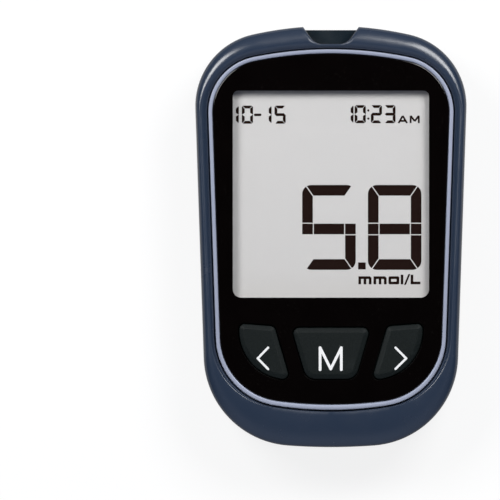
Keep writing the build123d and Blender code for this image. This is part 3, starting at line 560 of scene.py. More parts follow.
finishes = {
    "case_navy": finish(
        "satin_navy_plastic",
        paint(43, 55, 74),
        0.23,
        second=paint(40, 52, 71),
        speck=paint(60, 72, 92),
        specks=0.08,
        fineness=5200.0,
        depth=0.004,
        worn=paint(84, 94, 108),
        wear=0.25,
        dust=0.05,
        specular=0.7,
        # Painted shade: darker colour for the shelf in the strip port's notch, standing in for its shade.
        recess=paint(12, 27, 37),
    ),
    "ring_silver": finish(
        "silver_blue_paint",
        paint(156, 163, 184),
        0.45,
        second=paint(146, 153, 174),
        speck=paint(196, 202, 216),
        specks=0.25,
        fineness=9000.0,
        depth=0.0015,
        worn=paint(120, 124, 134),
        wear=0.2,
        metallic=0.3,
    ),
    "lens_black": finish(
        "black_acrylic",
        paint(6, 4, 4),
        0.045,
        second=paint(9, 6, 6),
        swing=0.015,
        fineness=900.0,
        depth=0.0002,
        dust=0.03,
    ),
    "tape_black": finish("adhesive_tape", paint(30, 30, 31), 0.7, second=paint(24, 24, 25), depth=0.006),
    "key_charcoal": finish(
        "charcoal_key_rubber",
        paint(20, 25, 25),
        0.45,
        second=paint(16, 21, 21),
        speck=paint(42, 48, 48),
        specks=0.35,
        fineness=4200.0,
        depth=0.008,
        worn=paint(66, 72, 72),
        wear=0.1,
        specular=0.1,
    ),
    "mat_rubber": finish(
        "grey_silicone",
        paint(138, 138, 138),
        0.6,
        second=paint(128, 128, 130),
        depth=0.006,
    ),
    "display_film": finish(
        "display_grey",
        paint(212, 210, 208),
        0.42,
        second=paint(209, 207, 205),
        speck=paint(222, 220, 218),
        specks=0.2,
        fineness=7000.0,
        depth=0.0008,
        specular=0.3,
    ),
    "display_glass": finish(
        "display_glass_edge",
        paint(196, 206, 200),
        0.08,
        second=paint(184, 198, 192),
        swing=0.02,
        depth=0.0002,
    ),
    "frame_white": finish(
        "white_bracket",
        paint(216, 216, 212),
        0.5,
        second=paint(206, 206, 200),
        depth=0.005,
    ),
    "zebra_rubber": finish(
        "striped_rubber",
        paint(176, 146, 136),
        0.6,
        second=paint(60, 52, 50),
        clouds=1.0,
        cloud_size=2600.0,
    ),
    "board_green": finish(
        "solder_mask",
        paint(28, 92, 58),
        0.3,
        second=paint(20, 74, 46),
        speck=paint(60, 130, 84),
        specks=0.4,
        fineness=1400.0,
        cloud_size=700.0,
        depth=0.01,
    ),
    "chip_black": finish(
        "moulded_epoxy",
        paint(36, 36, 38),
        0.55,
        second=paint(30, 30, 33),
        depth=0.006,
        fineness=9000.0,
    ),
    "can_steel": finish(
        "tinned_sheet",
        paint(198, 198, 196),
        0.3,
        second=paint(180, 180, 180),
        metallic=1.0,
        depth=0.002,
    ),
    "chip_ceramic": finish(
        "fired_ceramic",
        paint(178, 154, 128),
        0.45,
        second=paint(166, 142, 116),
        depth=0.003,
    ),
    "connector_ivory": finish(
        "ivory_plastic",
        paint(224, 220, 206),
        0.45,
        second=paint(214, 208, 192),
        depth=0.004,
    ),
    "contact_gold": finish(
        "gold_flash",
        paint(230, 200, 130),
        0.25,
        second=paint(216, 180, 108),
        metallic=1.0,
        depth=0.001,
    ),
    "spring_steel": finish(
        "nickel_plate",
        paint(214, 212, 207),
        0.26,
        second=paint(196, 194, 190),
        metallic=1.0,
        fineness=3000.0,
        depth=0.002,
        dust=0.1,
    ),
    "screw_steel": finish(
        "zinc_plate",
        paint(158, 158, 160),
        0.34,
        second=paint(138, 138, 142),
        metallic=1.0,
        depth=0.003,
    ),
}
display_ink = finish(
    "display_ink",
    paint(37, 25, 22),
    0.6,
    second=paint(33, 22, 19),
    depth=0.0005,
    specular=0.0,
)
white_print = finish("white_print", paint(250, 250, 250), 0.5, second=paint(244, 244, 244), depth=0.001)


def wrap_finish():
    """Glossy printed wrap of a cell: dark body and a warm band at its positive end."""
    material, tree, shader = blank("printed_wrap")
    place = tree.nodes.new("ShaderNodeTexCoord").outputs["Object"]
    along = tree.nodes.new("ShaderNodeAttribute")
    along.attribute_name = "along"
    ramp = tree.nodes.new("ShaderNodeValToRGB")
    ramp.color_ramp.interpolation = "CONSTANT"
    bands = ((0.0, paint(196, 128, 66)), (0.24, paint(214, 214, 210)), (0.26, paint(44, 46, 50)))
    for index, (share, colour) in enumerate(bands):
        stop = ramp.color_ramp.elements[index] if index < 2 else ramp.color_ramp.elements.new(share)
        stop.position = share
        stop.color = colour
    tree.links.new(along.outputs["Fac"], ramp.inputs["Fac"])
    grain = placed_group(tree, grain_group, place, Fineness=2500.0, Cloud_size=200.0)
    tone = mixed(tree, sums(tree, "MULTIPLY", grain["Cloud"], 0.12), ramp.outputs["Color"], paint(20, 20, 22))
    rough = stretched(tree, grain["Cloud"], 0.0, 1.0, 0.2, 0.3)
    tree.links.new(tone, shader.inputs["Base Color"])
    tree.links.new(rough, shader.inputs["Roughness"])
    shader.inputs["Coat Weight"].default_value = 0.4
    return material


def glass_finish():
    """Clear acrylic that lets light through to the display."""
    material, tree, shader = blank("clear_acrylic")
    place = tree.nodes.new("ShaderNodeTexCoord").outputs["Object"]
    grain = placed_group(tree, grain_group, place, Fineness=900.0, Cloud_size=120.0)
    shader.inputs["Base Color"].default_value = (1, 1, 1, 1)
    tree.links.new(stretched(tree, grain["Cloud"], 0.0, 1.0, 0.0, 0.012), shader.inputs["Roughness"])
    shader.inputs["Transmission Weight"].default_value = 1.0
    shader.inputs["IOR"].default_value = 1.49
    clear = tree.nodes.new("ShaderNodeBsdfTransparent")
    path = tree.nodes.new("ShaderNodeLightPath")
    either = tree.nodes.new("ShaderNodeMixShader")
    output = tree.nodes["Material Output"]
    unbent = sums(tree, "MAXIMUM", path.outputs["Is Shadow Ray"], path.outputs["Is Diffuse Ray"])
    tree.links.new(unbent, either.inputs["Fac"])
    tree.links.new(shader.outputs["BSDF"], either.inputs[1])
    tree.links.new(clear.outputs["BSDF"], either.inputs[2])
    tree.links.new(either.outputs["Shader"], output.inputs["Surface"])
    return material


finishes["cell_wrap"] = wrap_finish()
clear_acrylic = glass_finish()


def fitted(piece, body, slot=None, replaced=(), material=None):
    """Gives a piece the finish of its slot, or the material given, and the body it rides on, and hides the
    CAD nodes it stands for.
    """
    piece.data.materials.clear()
    piece.data.materials.append(material or finishes[slot])
    piece.data.polygons.foreach_set("material_index", [0] * len(piece.data.polygons))
    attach(piece, body)
    if replaced:
        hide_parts(*replaced)
    return piece


# ---- Shells: a smooth skin over the inside that the CAD gives ----
GROOVE = grown(RING, RING_GROOVE)

# Line of the rim's crest: half way over to the ring at the crown and the sides, close to it at the chin.
CREST_SHARES = (0.7, 0.97, 0.4, 0.58, 0.7, 0.97, 0.25, 0.97)
CREST_LINE = [a + (b - a) * share for a, b, share in zip(CASE, GROOVE, CREST_SHARES)]


def rings_of(profile):
    return [raised(shield(shape), height) for height, shape in profile]


def seam_rings(foot, way, steps=4):
    """Rounded edge of a shell at the parting, from its side to its joint face."""
    turns = [radians(90 * step / steps) for step in range(steps + 1)]
    return [(foot - way * SEAM * (1 - sin(turn)), grown(CASE, -SEAM * (1 - cos(turn)))) for turn in turns]


def rim_skin():
    """Profile of the rolled rim: up the side, over the crest, down into the ring groove and back inside."""
    profile = list(reversed(seam_rings(PARTING, -1)))
    profile.append((RIM_START - 2, CASE))
    for step in range(17):
        turn = radians(90 * step / 16)
        height = RIM_START + (CREST - RIM_START) * sin(turn)
        profile.append((height, blended(CASE, CREST_LINE, 1 - cos(turn))))
    for step in range(1, 11):
        fall = 0.096 * step
        profile.append((CREST - GROOVE_DROP * fall**2, blended(CREST_LINE, GROOVE, fall)))
    profile.append((CREST - GROOVE_DROP - 0.01, blended(CREST_LINE, GROOVE, 0.99)))
    profile.append((CREST - GROOVE_DROP - 0.08, GROOVE))
    foot = DECK_TOP - 0.15
    behind = grown(GROOVE, 0.8)
    profile += [(foot, grown(GROOVE, 0.005)), (foot, behind), (RIM_START, behind)]
    profile.append((RIM_START, grown(blended(CASE, CREST_LINE, 0.3), -0.35)))
    profile.append((WALL_HEAD, grown(CASE, -SKIN)))
    profile.append((PARTING, grown(CASE, -SKIN)))
    return profile


def rim_core():
    """Profile through the middle of that skin, closed over the deck."""
    return [
        (5.0, grown(CASE, -SKIN / 2)),
        (WALL_HEAD, grown(CASE, -SKIN / 2)),
        (RIM_START, grown(blended(CASE, CREST_LINE, 0.22), -0.2)),
        (20.9, blended(CASE, CREST_LINE, 0.75)),
        (20.4, grown(GROOVE, 0.4)),
        (DECK_TOP + 0.005, grown(GROOVE, 0.4)),
    ]


def port_outline(floor, corner, grow=SKIN_GAP):
    """Trapezoid that opens through the crown."""
    half = PORT_HALF + grow * hypot(1, PORT_SPREAD)
    foot_half = half + (floor - grow - PORT_WIDTH_AT) * PORT_SPREAD
    head_half = half + PORT_REACH * PORT_SPREAD
    head = PORT_WIDTH_AT + PORT_REACH
    corners = [
        Vector((-foot_half, floor - grow)),
        Vector((foot_half, floor - grow)),
        Vector((head_half, head)),
        Vector((-head_half, head)),
    ]
    return softened(corners, (corner, corner, 0, 0), 10)


def bowl(depth, top, steps):
    """Profile of the rear form at a depth inside its faces."""
    radius = REAR_RADIUS - depth
    profile = [(depth, grown(CASE, -REAR_RADIUS - 0.3))]
    for step in range(steps + 1):
        turn = radians(90 * step / steps)
        profile.append((REAR_RADIUS - radius * cos(turn), grown(CASE, radius * sin(turn) - REAR_RADIUS)))
    profile.append((top, grown(CASE, -depth)))
    return profile


def flared(core, radius, head, flare=0.3):
    """Cutter from below the rear face, a little wider at that face so that the edge it leaves is eased."""
    return stacked(
        "tool",
        [
            raised(rolled(core, radius + flare), -0.2),
            raised(rolled(core, radius + flare), 0.0),
            raised(rolled(core, radius), flare),
            raised(rolled(core, radius), head),
        ],
    )


def stepped(path, pitch):
    """The path with points at most a pitch apart."""
    points = []
    for here, there in zip(path, path[1:]):
        count = max(1, round((there - here).length / pitch))
        points += [here.lerp(there, step / count) for step in range(count)]
    return points + path[-1:]


def eased_edge(shell, path, radius, steps=5):
    """Cutter that rounds the upper edge of a vertical cut in a shell; what stays lies right of the path."""
    surface = BVHTree.FromPolygons(
        [vertex.co / MM for vertex in shell.data.vertices],
        [face.vertices for face in shell.data.polygons],
    )
    section = [(-0.3, -radius)]
    for step in range(steps + 1):
        turn = radians(75 * step / steps)
        section.append((radius * (1 - cos(turn)), radius * (sin(turn) - 1)))
    section.append((section[-1][0] + 0.2, 0.05))
    rings = []
    for back, here, ahead in zip(path[:1] + path, path, path[1:] + path[-1:]):
        way = (ahead - back).normalized()
        way = Vector((way.y, -way.x))
        ring = []
        for reach, rise in section:
            place = here + way * reach
            top = surface.ray_cast(place.to_3d() + Vector((0, 0, 40)), Vector((0, 0, -1)))[0]
            ring.append((*place, (top.z if top else RIM_START - 0.5) + rise))
        ring += [(*ring[-1][:2], CREST + 1), (*ring[0][:2], CREST + 1)]
        rings.append(ring)
    return stacked("tool", rings)


port_cut = port_outline(PORT_FLOOR, 3.3)
port_end = port_cut[0].lerp(port_cut[-1], (48.0 - port_cut[0].y) / (port_cut[-1].y - port_cut[0].y))
port_path = stepped([port_end, *port_cut[:-2], Vector((-port_end.x, port_end.y))], 0.15)
front_skin = stacked("front_skin", rings_of(rim_skin()), tube=True)
port_edge = eased_edge(front_skin, port_path, 0.55)
front_shell = worked(
    from_cad("front_housing", "front_shell"),
    ("INTERSECT", stacked("core", rings_of(rim_core()))),
    ("UNION", front_skin),
    ("DIFFERENCE", prism(port_cut, SHELF_TOP - SKIN_GAP, ABOVE)),
    ("DIFFERENCE", port_edge),
    ("DIFFERENCE", prism(port_outline(SHELF_END, 0), -1.0, ABOVE)),
)
tidied(front_shell)
# Painted shade: the shelf's upward faces in the port's notch are marked to take the darker colour that stands
# in for their shade.
recess = front_shell.data.attributes.new("recess", "FLOAT", "FACE")
for face, share in zip(front_shell.data.polygons, recess.data):
    place = face.center / MM
    share.value = face.normal.z > 0.9 and place.y > PORT_FLOOR and abs(place.z - SHELF_TOP) < 0.1
fitted(front_shell, "meter", "case_navy", ["front_housing"])

rear_skin = stacked(
    "rear_skin",
    rings_of(bowl(0, PARTING - 2 * SEAM, 12) + seam_rings(PARTING, 1) + bowl(SKIN, PARTING, 6)[::-1]),
)
doorway = block(-DOOR_HALF + DOOR_CORNER, DOOR_HALF - DOOR_CORNER, -FAR, DOOR_HEAD - DOOR_CORNER)
screw_wells = [
    flared(circle(side * SCREW_X, SCREW_Y, 0.3), SCREW_WELL + SKIN_GAP, 2.0, 0.2) for side in (-1, 1)
]
doorway_rim = DOOR_CORNER + DOOR_GAP + SKIN_GAP
rear_skin = worked(
    rear_skin,
    ("DIFFERENCE", flared(doorway, doorway_rim, DOOR_END + DOOR_GAP + SKIN_GAP, 0.2)),
    ("DIFFERENCE", screw_wells[0]),
    ("DIFFERENCE", screw_wells[1]),
)
rear_shell = worked(
    from_cad("rear_housing", "rear_shell"),
    ("INTERSECT", stacked("core", rings_of(bowl(SKIN / 2, 16.0, 8)))),
    ("UNION", rear_skin),
    ("DIFFERENCE", prism(port_outline(SHELF_END, 0), -1.0, ABOVE)),
)
fitted(tidied(rear_shell), "meter", "case_navy", ["rear_housing"])

GRIP_COUNT = 5
GRIP_PITCH = 2.2
GRIP_HALF = 7
GRIP_HALF_WIDTH = 0.55
GRIP_DEPTH = 0.5
grip_outline = block(
    -GRIP_HALF - SKIN_GAP, GRIP_HALF + SKIN_GAP, -GRIP_HALF_WIDTH - SKIN_GAP, GRIP_HALF_WIDTH + SKIN_GAP
)
grip = prism(grip_outline, -0.3, GRIP_DEPTH + SKIN_GAP)
grip_foot = DOOR_HEAD - DOOR_CORNER - GRIP_PITCH * GRIP_COUNT
grips = repeated("grip_grooves", grip, GRIP_COUNT, (0, grip_foot, 0), (0, GRIP_PITCH, 0))
door_skin = worked(
    stacked("door_skin", rings_of(bowl(0, DOOR_END, 12) + bowl(SKIN, DOOR_END, 6)[::-1])),
    (
        "INTERSECT",
        stacked(
            "tool",
            [
                raised(rolled(doorway, DOOR_CORNER - 0.25), -0.1),
                raised(rolled(doorway, DOOR_CORNER - 0.25), 0.0),
                raised(rolled(doorway, DOOR_CORNER - SKIN_GAP), 0.25),
                raised(rolled(doorway, DOOR_CORNER - SKIN_GAP), 12.0),
            ],
        ),
    ),
    ("DIFFERENCE", grips),
)
door_cover = worked(
    from_cad("battery_door", "door_cover"),
    ("INTERSECT", stacked("core", rings_of(bowl(SKIN / 2, 16.0, 8)))),
    ("UNION", door_skin),
)
fitted(tidied(door_cover), "door", "case_navy", ["battery_door"])

# ---- Trim ring ----
ring_profile = [
    (0.0, DECK_TOP),
    (0.0, RING_TOP - 0.16),
    (0.05, RING_TOP - 0.06),
    (0.14, RING_TOP - 0.01),
    (0.24, RING_TOP),
    (0.7, RING_TOP - 0.01),
    (0.84, RING_TOP - 0.05),
    (0.95, RING_TOP - 0.13),
    (1.0, RING_TOP - 0.24),
    (1.0, DECK_TOP),
]
ring_levels = [(height, blended(RING, LENS, share)) for share, height in ring_profile]
bezel_ring = stacked("bezel_ring", rings_of(ring_levels), tube=True)
fitted(tidied(bezel_ring, 50), "meter", "ring_silver", ["trim_ring"])

# ---- Keys: convex cores that a disc rolls round ----
ALL = block(-FAR, FAR, -FAR, FAR)
KEY_SLANT = radians(16.4)
MEMORY_HALF = 8.82
MEMORY_ROLL = 1.3
SIDE_ROLL = 1.2
KEY_ROW_MIDDLE = -26
memory_lines = [
    (Vector((0, KEY_ROW_TOP)), Vector((0, -1))),
    (Vector((0, KEY_FOOT)), Vector((0, 1))),
    (Vector((MEMORY_HALF, KEY_ROW_TOP)), Vector((-cos(KEY_SLANT), sin(KEY_SLANT)))),
    (Vector((-MEMORY_HALF, KEY_ROW_TOP)), Vector((cos(KEY_SLANT), sin(KEY_SLANT)))),
]
memory_core = cut_down(ALL, memory_lines, MEMORY_ROLL)
memory_core = softened(memory_core, [1.5 if corner.y < KEY_ROW_MIDDLE else 0 for corner in memory_core])


def side_core(side):
    """Quarter disc beside the middle key, for a disc to roll round; the side is -1 on the left."""
    place = Vector((side * 12.67, KEY_ROW_TOP + 0.32))
    slope = radians(4.4)
    lines = [
        (place, Vector((side * sin(slope), -cos(slope)))),
        (place, Vector((side * cos(KEY_SLANT), -sin(KEY_SLANT)))),
    ]
    return cut_down(circle(side * 9.5, KEY_ROW_TOP - 0.55, 11 - SIDE_ROLL, 180), lines, SIDE_ROLL)


keys = {
    "left": (side_core(-1), SIDE_ROLL),
    "memory": (memory_core, MEMORY_ROLL),
    "right": (side_core(1), SIDE_ROLL),
}
KEY_PROFILE = [
    (0.0, KEY_TOP - 0.5),
    (0.03, KEY_TOP - 0.41),
    (0.11, KEY_TOP - 0.35),
    (0.3, KEY_TOP - 0.275),
    (0.8, KEY_TOP - 0.075),
    (0.95, KEY_TOP - 0.02),
    (1.1, KEY_TOP),
    (1.15, KEY_TOP),
]
for name, (core, radius) in keys.items():
    flange = rolled(core, radius + KEY_GAP + 0.5)
    rings = [raised(flange, FLANGE_BOTTOM), raised(flange, FLANGE_TOP)]
    rings.append(raised(rolled(core, radius), FLANGE_TOP))
    rings += [raised(rolled(core, radius - inset), height) for inset, height in KEY_PROFILE]
    fitted(tidied(stacked(f"{name}_cap", rings), 40), f"{name}_key", "key_charcoal", [f"{name}_button"])

# ---- Lens: printed plate, and the clear window in it ----
lens_outline = grown(LENS, -LENS_GAP)
lens_plate = stacked(
    "lens_plate",
    rings_of(
        [
            (LENS_BOTTOM, lens_outline),
            (LENS_TOP - 0.12, lens_outline),
            (LENS_TOP - 0.035, grown(lens_outline, -0.035)),
            (LENS_TOP, grown(lens_outline, -0.12)),
            (LENS_TOP, grown(lens_outline, -0.17)),
        ]
    ),
)


def key_opening(core, radius, edge=0.1):
    """Cutter for a key's opening, with a bevelled upper edge."""
    levels = ((10.0, 0.0), (LENS_TOP - edge, 0.0), (LENS_TOP, edge), (LENS_TOP + edge, 2 * edge))
    return stacked("tool", [raised(rolled(core, radius + wider), height) for height, wider in levels])


window = softened(block(-WINDOW_HALF, WINDOW_HALF, WINDOW_FOOT, WINDOW_TOP), WINDOW_CORNERS, 10)
lens_plate = worked(
    lens_plate,
    ("DIFFERENCE", prism(window, 10.0, ABOVE)),
    *[("DIFFERENCE", key_opening(core, radius + KEY_GAP)) for core, radius in keys.values()],
)
fitted(tidied(lens_plate), "meter", "lens_black", ["display_lens"])
pane = softened(
    block(-WINDOW_HALF + PANE_GAP, WINDOW_HALF - PANE_GAP, WINDOW_FOOT + PANE_GAP, WINDOW_TOP - PANE_GAP),
    WINDOW_CORNERS,
    10,
)
window_pane = prism(pane, LENS_BOTTOM, LENS_TOP, "window_pane")
fitted(tidied(window_pane), "meter", None, ["display_lens"], clear_acrylic)

# ---- Display face and its segments ----
low, high = [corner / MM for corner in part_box("lcd_polariser")]
FILM_CORNER = 0.3
FILM_EDGE = 0.05
face_core = block(low.x + FILM_CORNER, high.x - FILM_CORNER, low.y + FILM_CORNER, high.y - FILM_CORNER)
display_face = stacked(
    "display_face",
    [
        raised(rolled(face_core, FILM_CORNER, 32), low.z),
        raised(rolled(face_core, FILM_CORNER, 32), high.z - FILM_EDGE),
        raised(rolled(face_core, FILM_CORNER - FILM_EDGE, 32), high.z),
    ],
)
fitted(tidied(display_face), "meter", "display_film", ["lcd_polariser"])

SEGMENT_FOOT = DISPLAY_TOP - 0.01
SEGMENT_TOP = DISPLAY_TOP + 0.02
segments = []


def print_shape(outline, left=0.0, foot=0.0):
    """One printed shape of the display."""
    moved = [point + Vector((left, foot)) for point in outline]
    segments.append(prism(moved, SEGMENT_FOOT, SEGMENT_TOP))


def segment_shapes(width, height, stroke, gap, corner, lean, squares, sunk):
    """Shapes of a seven-segment digit from the origin, with its bar sunk that far below the middle."""
    outer = softened(block(0.0, width, 0.0, height), (corner,) * 4, 6)
    joint = Vector((stroke, height - stroke))
    across = Vector((1, lean)).normalized()
    mirrored = Vector((-across.x, across.y))
    middle = height / 2 - sunk
    mirror_x = lambda shape: [Vector((width - point.x, point.y)) for point in reversed(shape)]
    mirror_y = lambda shape: [Vector((point.x, height - point.y)) for point in reversed(shape)]
    top = clip(outer, Vector((0, height - stroke)), Vector((0, 1)))
    top = clip(top, joint + across * gap / 2, across)
    top = clip(top, Vector((width - joint.x, joint.y)) + mirrored * gap / 2, mirrored)
    side = clip(outer, Vector((stroke, 0)), Vector((-1, 0)))
    side = clip(side, joint - across * gap / 2, -across)

    def upright(foot):
        if squares:
            return clip(side, Vector((0, foot + stroke / 2 + gap)), Vector((0, 1)))
        above = clip(side, Vector((0, foot + gap / 2)), Vector((0, 1)))
        return clip(above, Vector((stroke, foot + stroke / 2 + gap)), Vector((-1, 1.4)).normalized())

    shapes = {"a": top, "d": mirror_y(top), "f": upright(middle), "e": mirror_y(upright(height - middle))}
    if squares:
        bar = block(stroke + gap, width - stroke - gap, middle - stroke / 2, middle + stroke / 2)
        shapes["q"] = block(0.0, stroke, middle - stroke / 2, middle + stroke / 2)
        shapes["r"] = mirror_x(shapes["q"])
    else:
        bar = block(gap, width - gap, middle - stroke / 2, middle + stroke / 2)
        for x, y in ((1, 1), (1, -1), (-1, 1), (-1, -1)):
            bar = clip(bar, Vector((width / 2 - x * (width / 2 - gap), middle)), Vector((x * 0.7, -y * 0.7)))
    shapes.update(b=mirror_x(shapes["f"]), c=mirror_x(shapes["e"]), g=bar)
    return shapes


def digit(lit, left, foot, width, height, stroke, gap, corner, lean, squares=False, sunk=0.0):
    shapes = segment_shapes(width, height, stroke, gap, corner, lean, squares, sunk)
    for name in lit:
        print_shape(shapes[name], left, foot)


LARGE = {"width": 11.97, "height": 18.97, "stroke": 2.37, "gap": 0.22, "corner": 2.0, "lean": 0.7}
LARGE |= {"squares": True, "sunk": 0.35}
LARGE_FOOT = -7.33
digit("afgcdqr", -6.42, LARGE_FOOT, **LARGE)
digit("abcdefgqr", 8.28, LARGE_FOOT, **LARGE)
print_shape(block(6.09, 7.79, -7.25, -5.68))
SMALL = {"width": 2.5, "height": 4.05, "stroke": 0.64, "gap": 0.1, "corner": 0.45, "lean": 0.9}
DATE_FOOT = 25.35
TIME_FOOT = 25.46
for left, foot, lit in (
    (-23.11, DATE_FOOT, "bc"),
    (-19.93, DATE_FOOT, "abcdef"),
    (-15.77, DATE_FOOT, "bc"),
    (-12.62, DATE_FOOT, "afgcd"),
    (2.56, TIME_FOOT, "bc"),
    (5.30, TIME_FOOT, "abcdef"),
    (8.93, TIME_FOOT, "abged"),
    (11.95, TIME_FOOT, "abgcd"),
):
    digit(lit, left, foot, **SMALL)
print_shape(rolled(block(-16.94, -15.82, 27.32, 27.34), 0.28, 24))
for height in (28.32, 26.49):
    print_shape(circle(8.37, height, 0.26, 16))


def bars(strokes, width, left, foot):
    """Letter of straight strokes with square ends, as one shape."""
    tools = []
    for start, end in strokes:
        start, end = Vector(start) + Vector((left, foot)), Vector(end) + Vector((left, foot))
        side = (end - start).orthogonal().normalized() * width / 2
        tools.append(prism([start - side, end - side, end + side, start + side], SEGMENT_FOOT, SEGMENT_TOP))
    segments.append(worked(tools[0], *[("UNION", tool) for tool in tools[1:]]))


A_STROKES = [((0.15, 0), (1.1, 1.63)), ((1.1, 1.63), (2.05, 0)), ((0.45, 0.5), (1.75, 0.5))]
M_POINTS = [(0.17, 0), (0.17, 1.65), (1.09, 0.45), (2.0, 1.65), (2.0, 0)]
AM_STROKE = 0.42
AM_FOOT = 25.48
bars(A_STROKES, AM_STROKE, 14.97, AM_FOOT)
bars(list(zip(M_POINTS, M_POINTS[1:])), AM_STROKE, 17.66, AM_FOOT)

STEM = 0.6
LETTER = 1.79
TALL_LETTER = 2.15


def low_m(left, foot, width=2.93):
    space = (width - 3 * STEM) / 2
    outline = [(0, 0), (STEM, 0), (STEM, LETTER - STEM)]
    outline += [(STEM + space, LETTER - STEM), (STEM + space, 0), (2 * STEM + space, 0)]
    outline += [(2 * STEM + space, LETTER - STEM), (width - STEM, LETTER - STEM), (width - STEM, 0)]
    outline += [(width, 0), (width, LETTER - 0.35), (width - 0.35, LETTER), (0, LETTER)]
    print_shape([Vector(point) for point in outline], left, foot)


UNIT_FOOT = -10.58
low_m(6.15, UNIT_FOOT)
low_m(9.53, UNIT_FOOT)
O_LEFT = 12.88
O_RIGHT = 15.28
UNIT_HEAD = UNIT_FOOT + LETTER
ring_outer = softened(block(O_LEFT, O_RIGHT, UNIT_FOOT, UNIT_HEAD), (0.3,) * 4, 3)
ring_inner = block(O_LEFT + STEM, O_RIGHT - STEM, UNIT_FOOT + STEM, UNIT_HEAD - STEM)
ring_inner = softened(ring_inner, (0.1,) * 4, 3)
segments.append(
    stacked(
        "tool",
        [
            raised(ring_outer, SEGMENT_FOOT),
            raised(ring_outer, SEGMENT_TOP),
            raised(ring_inner, SEGMENT_TOP),
            raised(ring_inner, SEGMENT_FOOT),
        ],
        tube=True,
    )
)
print_shape(block(15.62, 16.2, UNIT_FOOT, UNIT_FOOT + TALL_LETTER))
slash_foot, slash_head = UNIT_FOOT - 0.12, UNIT_FOOT + 2.3
slash = [(16.34, slash_foot), (16.78, slash_foot), (17.77, slash_head), (17.33, slash_head)]
print_shape([Vector(point) for point in slash])
ell = [(0, 0), (2.19, 0), (2.19, STEM), (STEM, STEM), (STEM, TALL_LETTER), (0, TALL_LETTER)]
print_shape([Vector(point) for point in ell], 17.83, UNIT_FOOT)
fitted(joined("display_segments", segments), "meter", None, (), display_ink)


# ---- Printed legends on the keys ----
def legend(name, body, points, width):
    """White print of round-ended strokes through the points."""
    strokes = []
    for start, end in zip(points, points[1:]):
        outline = rolled([Vector(start), Vector(end)], width / 2, 24)
        strokes.append(prism(outline, KEY_TOP - 0.02, KEY_TOP + 0.02, name))
    piece = worked(strokes[0], *[("UNION", stroke) for stroke in strokes[1:]])
    return fitted(tidied(piece), body, None, (), white_print)


LETTER_POINTS = [(-2.42, -29.66), (-2.42, -24.75), (-0.05, -29.5), (2.32, -24.75), (2.32, -29.66)]
legend("memory_letter", "memory_key", LETTER_POINTS, 0.62)
legend("left_arrow", "left_key", [(-14.05, -24.74), (-16.38, -27.14), (-14.05, -29.53)], 0.5)
legend("right_arrow", "right_key", [(14.47, -24.76), (16.84, -27.14), (14.47, -29.49)], 0.5)


# ---- Screws ----
def screw():
    """Cross-recessed screw with its head at the rear."""
    profile = [(1.5, 2.0), (1.85, 2.06), (2.05, 2.22), (2.1, 2.45), (2.1, 3.3), (2.0, 3.4)]
    profile += [(1.0, 3.4), (1.0, 4.4)]
    for turn in range(20):
        profile.append((0.8, 4.5 + 0.5 * turn))
        profile.append((0.99, 4.75 + 0.5 * turn))
    profile += [(0.8, 14.9), (0.3, 15.4)]
    piece = stacked("screw", [raised(circle(0, 0, radius, 32), height) for radius, height in profile])
    reach, half = 1.25, 0.26
    arms = [block(-reach, reach, -half, half), block(-half, half, -reach, reach)]
    return worked(piece, *[("DIFFERENCE", prism(arm, 1.5, 2.9)) for arm in arms])


screws = repeated("case_screws", screw(), 2, (-SCREW_X, SCREW_Y, 0), (2 * SCREW_X, 0, 0))
fitted(tidied(screws, 35), "meter", "screw_steel", ["housing_screws"])


# ---- Cells ----
def turned(name, profile, node, way, tube=False):
    """Lathe form along a cell's axis, from (distance from the tip, radius); way is the way the tip points."""
    low, high = [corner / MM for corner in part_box(node)]
    x, z = (low.x + high.x) / 2, (low.z + high.z) / 2
    tip = high.y if way > 0 else low.y
    rings = []
    for along, radius in profile:
        rings.append([(x + p.x, tip - way * along, z + p.y) for p in circle(0, 0, radius, 64)])
    piece = stacked(name, rings, tube)
    shares = piece.data.attributes.new("along", "FLOAT", "POINT")
    shares.data.foreach_set("value", [abs(tip - v.co.y / MM) / (high.y - low.y) for v in piece.data.vertices])
    return piece


CAN = [(0, 1.2), (0.06, 1.6), (0.2, 1.85), (0.4, 1.9), (0.92, 1.9), (1.0, 2.05), (1.06, 4.5), (1.35, 4.95)]
CAN += [(1.7, 5.08), (44.0, 5.08), (44.3, 4.9), (44.4, 4.4), (44.36, 4.1), (44.5, 3.8), (44.5, 0.2)]
WRAP = [(1.0, 4.2), (0.98, 4.75), (1.08, 5.05), (1.35, 5.2), (44.15, 5.2), (44.4, 5.05), (44.48, 4.75)]
WRAP += [(44.47, 4.3), (44.42, 4.3), (44.25, 5.0), (44.0, 5.1), (1.6, 5.1), (1.2, 4.95), (1.07, 4.2)]
for side, way in (("left", 1), ("right", -1)):
    can = turned(f"{side}_can", CAN, f"{side}_cell", way)
    fitted(tidied(can, 40), "meter", "spring_steel")
    wrap = turned(f"{side}_wrap", WRAP, f"{side}_cell", way, tube=True)
    fitted(tidied(wrap, 60), "meter", "cell_wrap", [f"{side}_cell"])

# ---- Keypad mat: a sheet on the board, and a dome under each key ----
MAT_SHEET = 0.6
board_face, dome_head = [corner.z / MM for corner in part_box("keypad_mat")]
sheet_top = board_face + MAT_SHEET - SKIN_GAP
mat_sheet = worked(
    from_cad("keypad_mat", "mat_sheet"),
    ("INTERSECT", prism(ALL, board_face - 1, sheet_top)),
)
fitted(tidied(mat_sheet), "meter", "mat_rubber", ["keypad_mat"])
DOME_PLACES = {"left": (-15.05, -25.18), "memory": (0.0, -25.55), "right": (15.05, -25.18)}
DOME_PROFILE = [(0.0, 2.6), (0.1, 2.6), (0.25, 2.5), (0.6, 2.2), (0.9, 1.95), (0.97, 1.85), (1.0, 1.7)]
dome_height = dome_head - SKIN_GAP - sheet_top
for key, middle in DOME_PLACES.items():
    rings = []
    for share, radius in DOME_PROFILE:
        rings.append(raised(circle(*middle, radius), sheet_top + share * dome_height))
    dome = fitted(tidied(stacked(f"{key}_dome", rings)), "meter", "mat_rubber", ["keypad_mat"])
    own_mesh(dome)

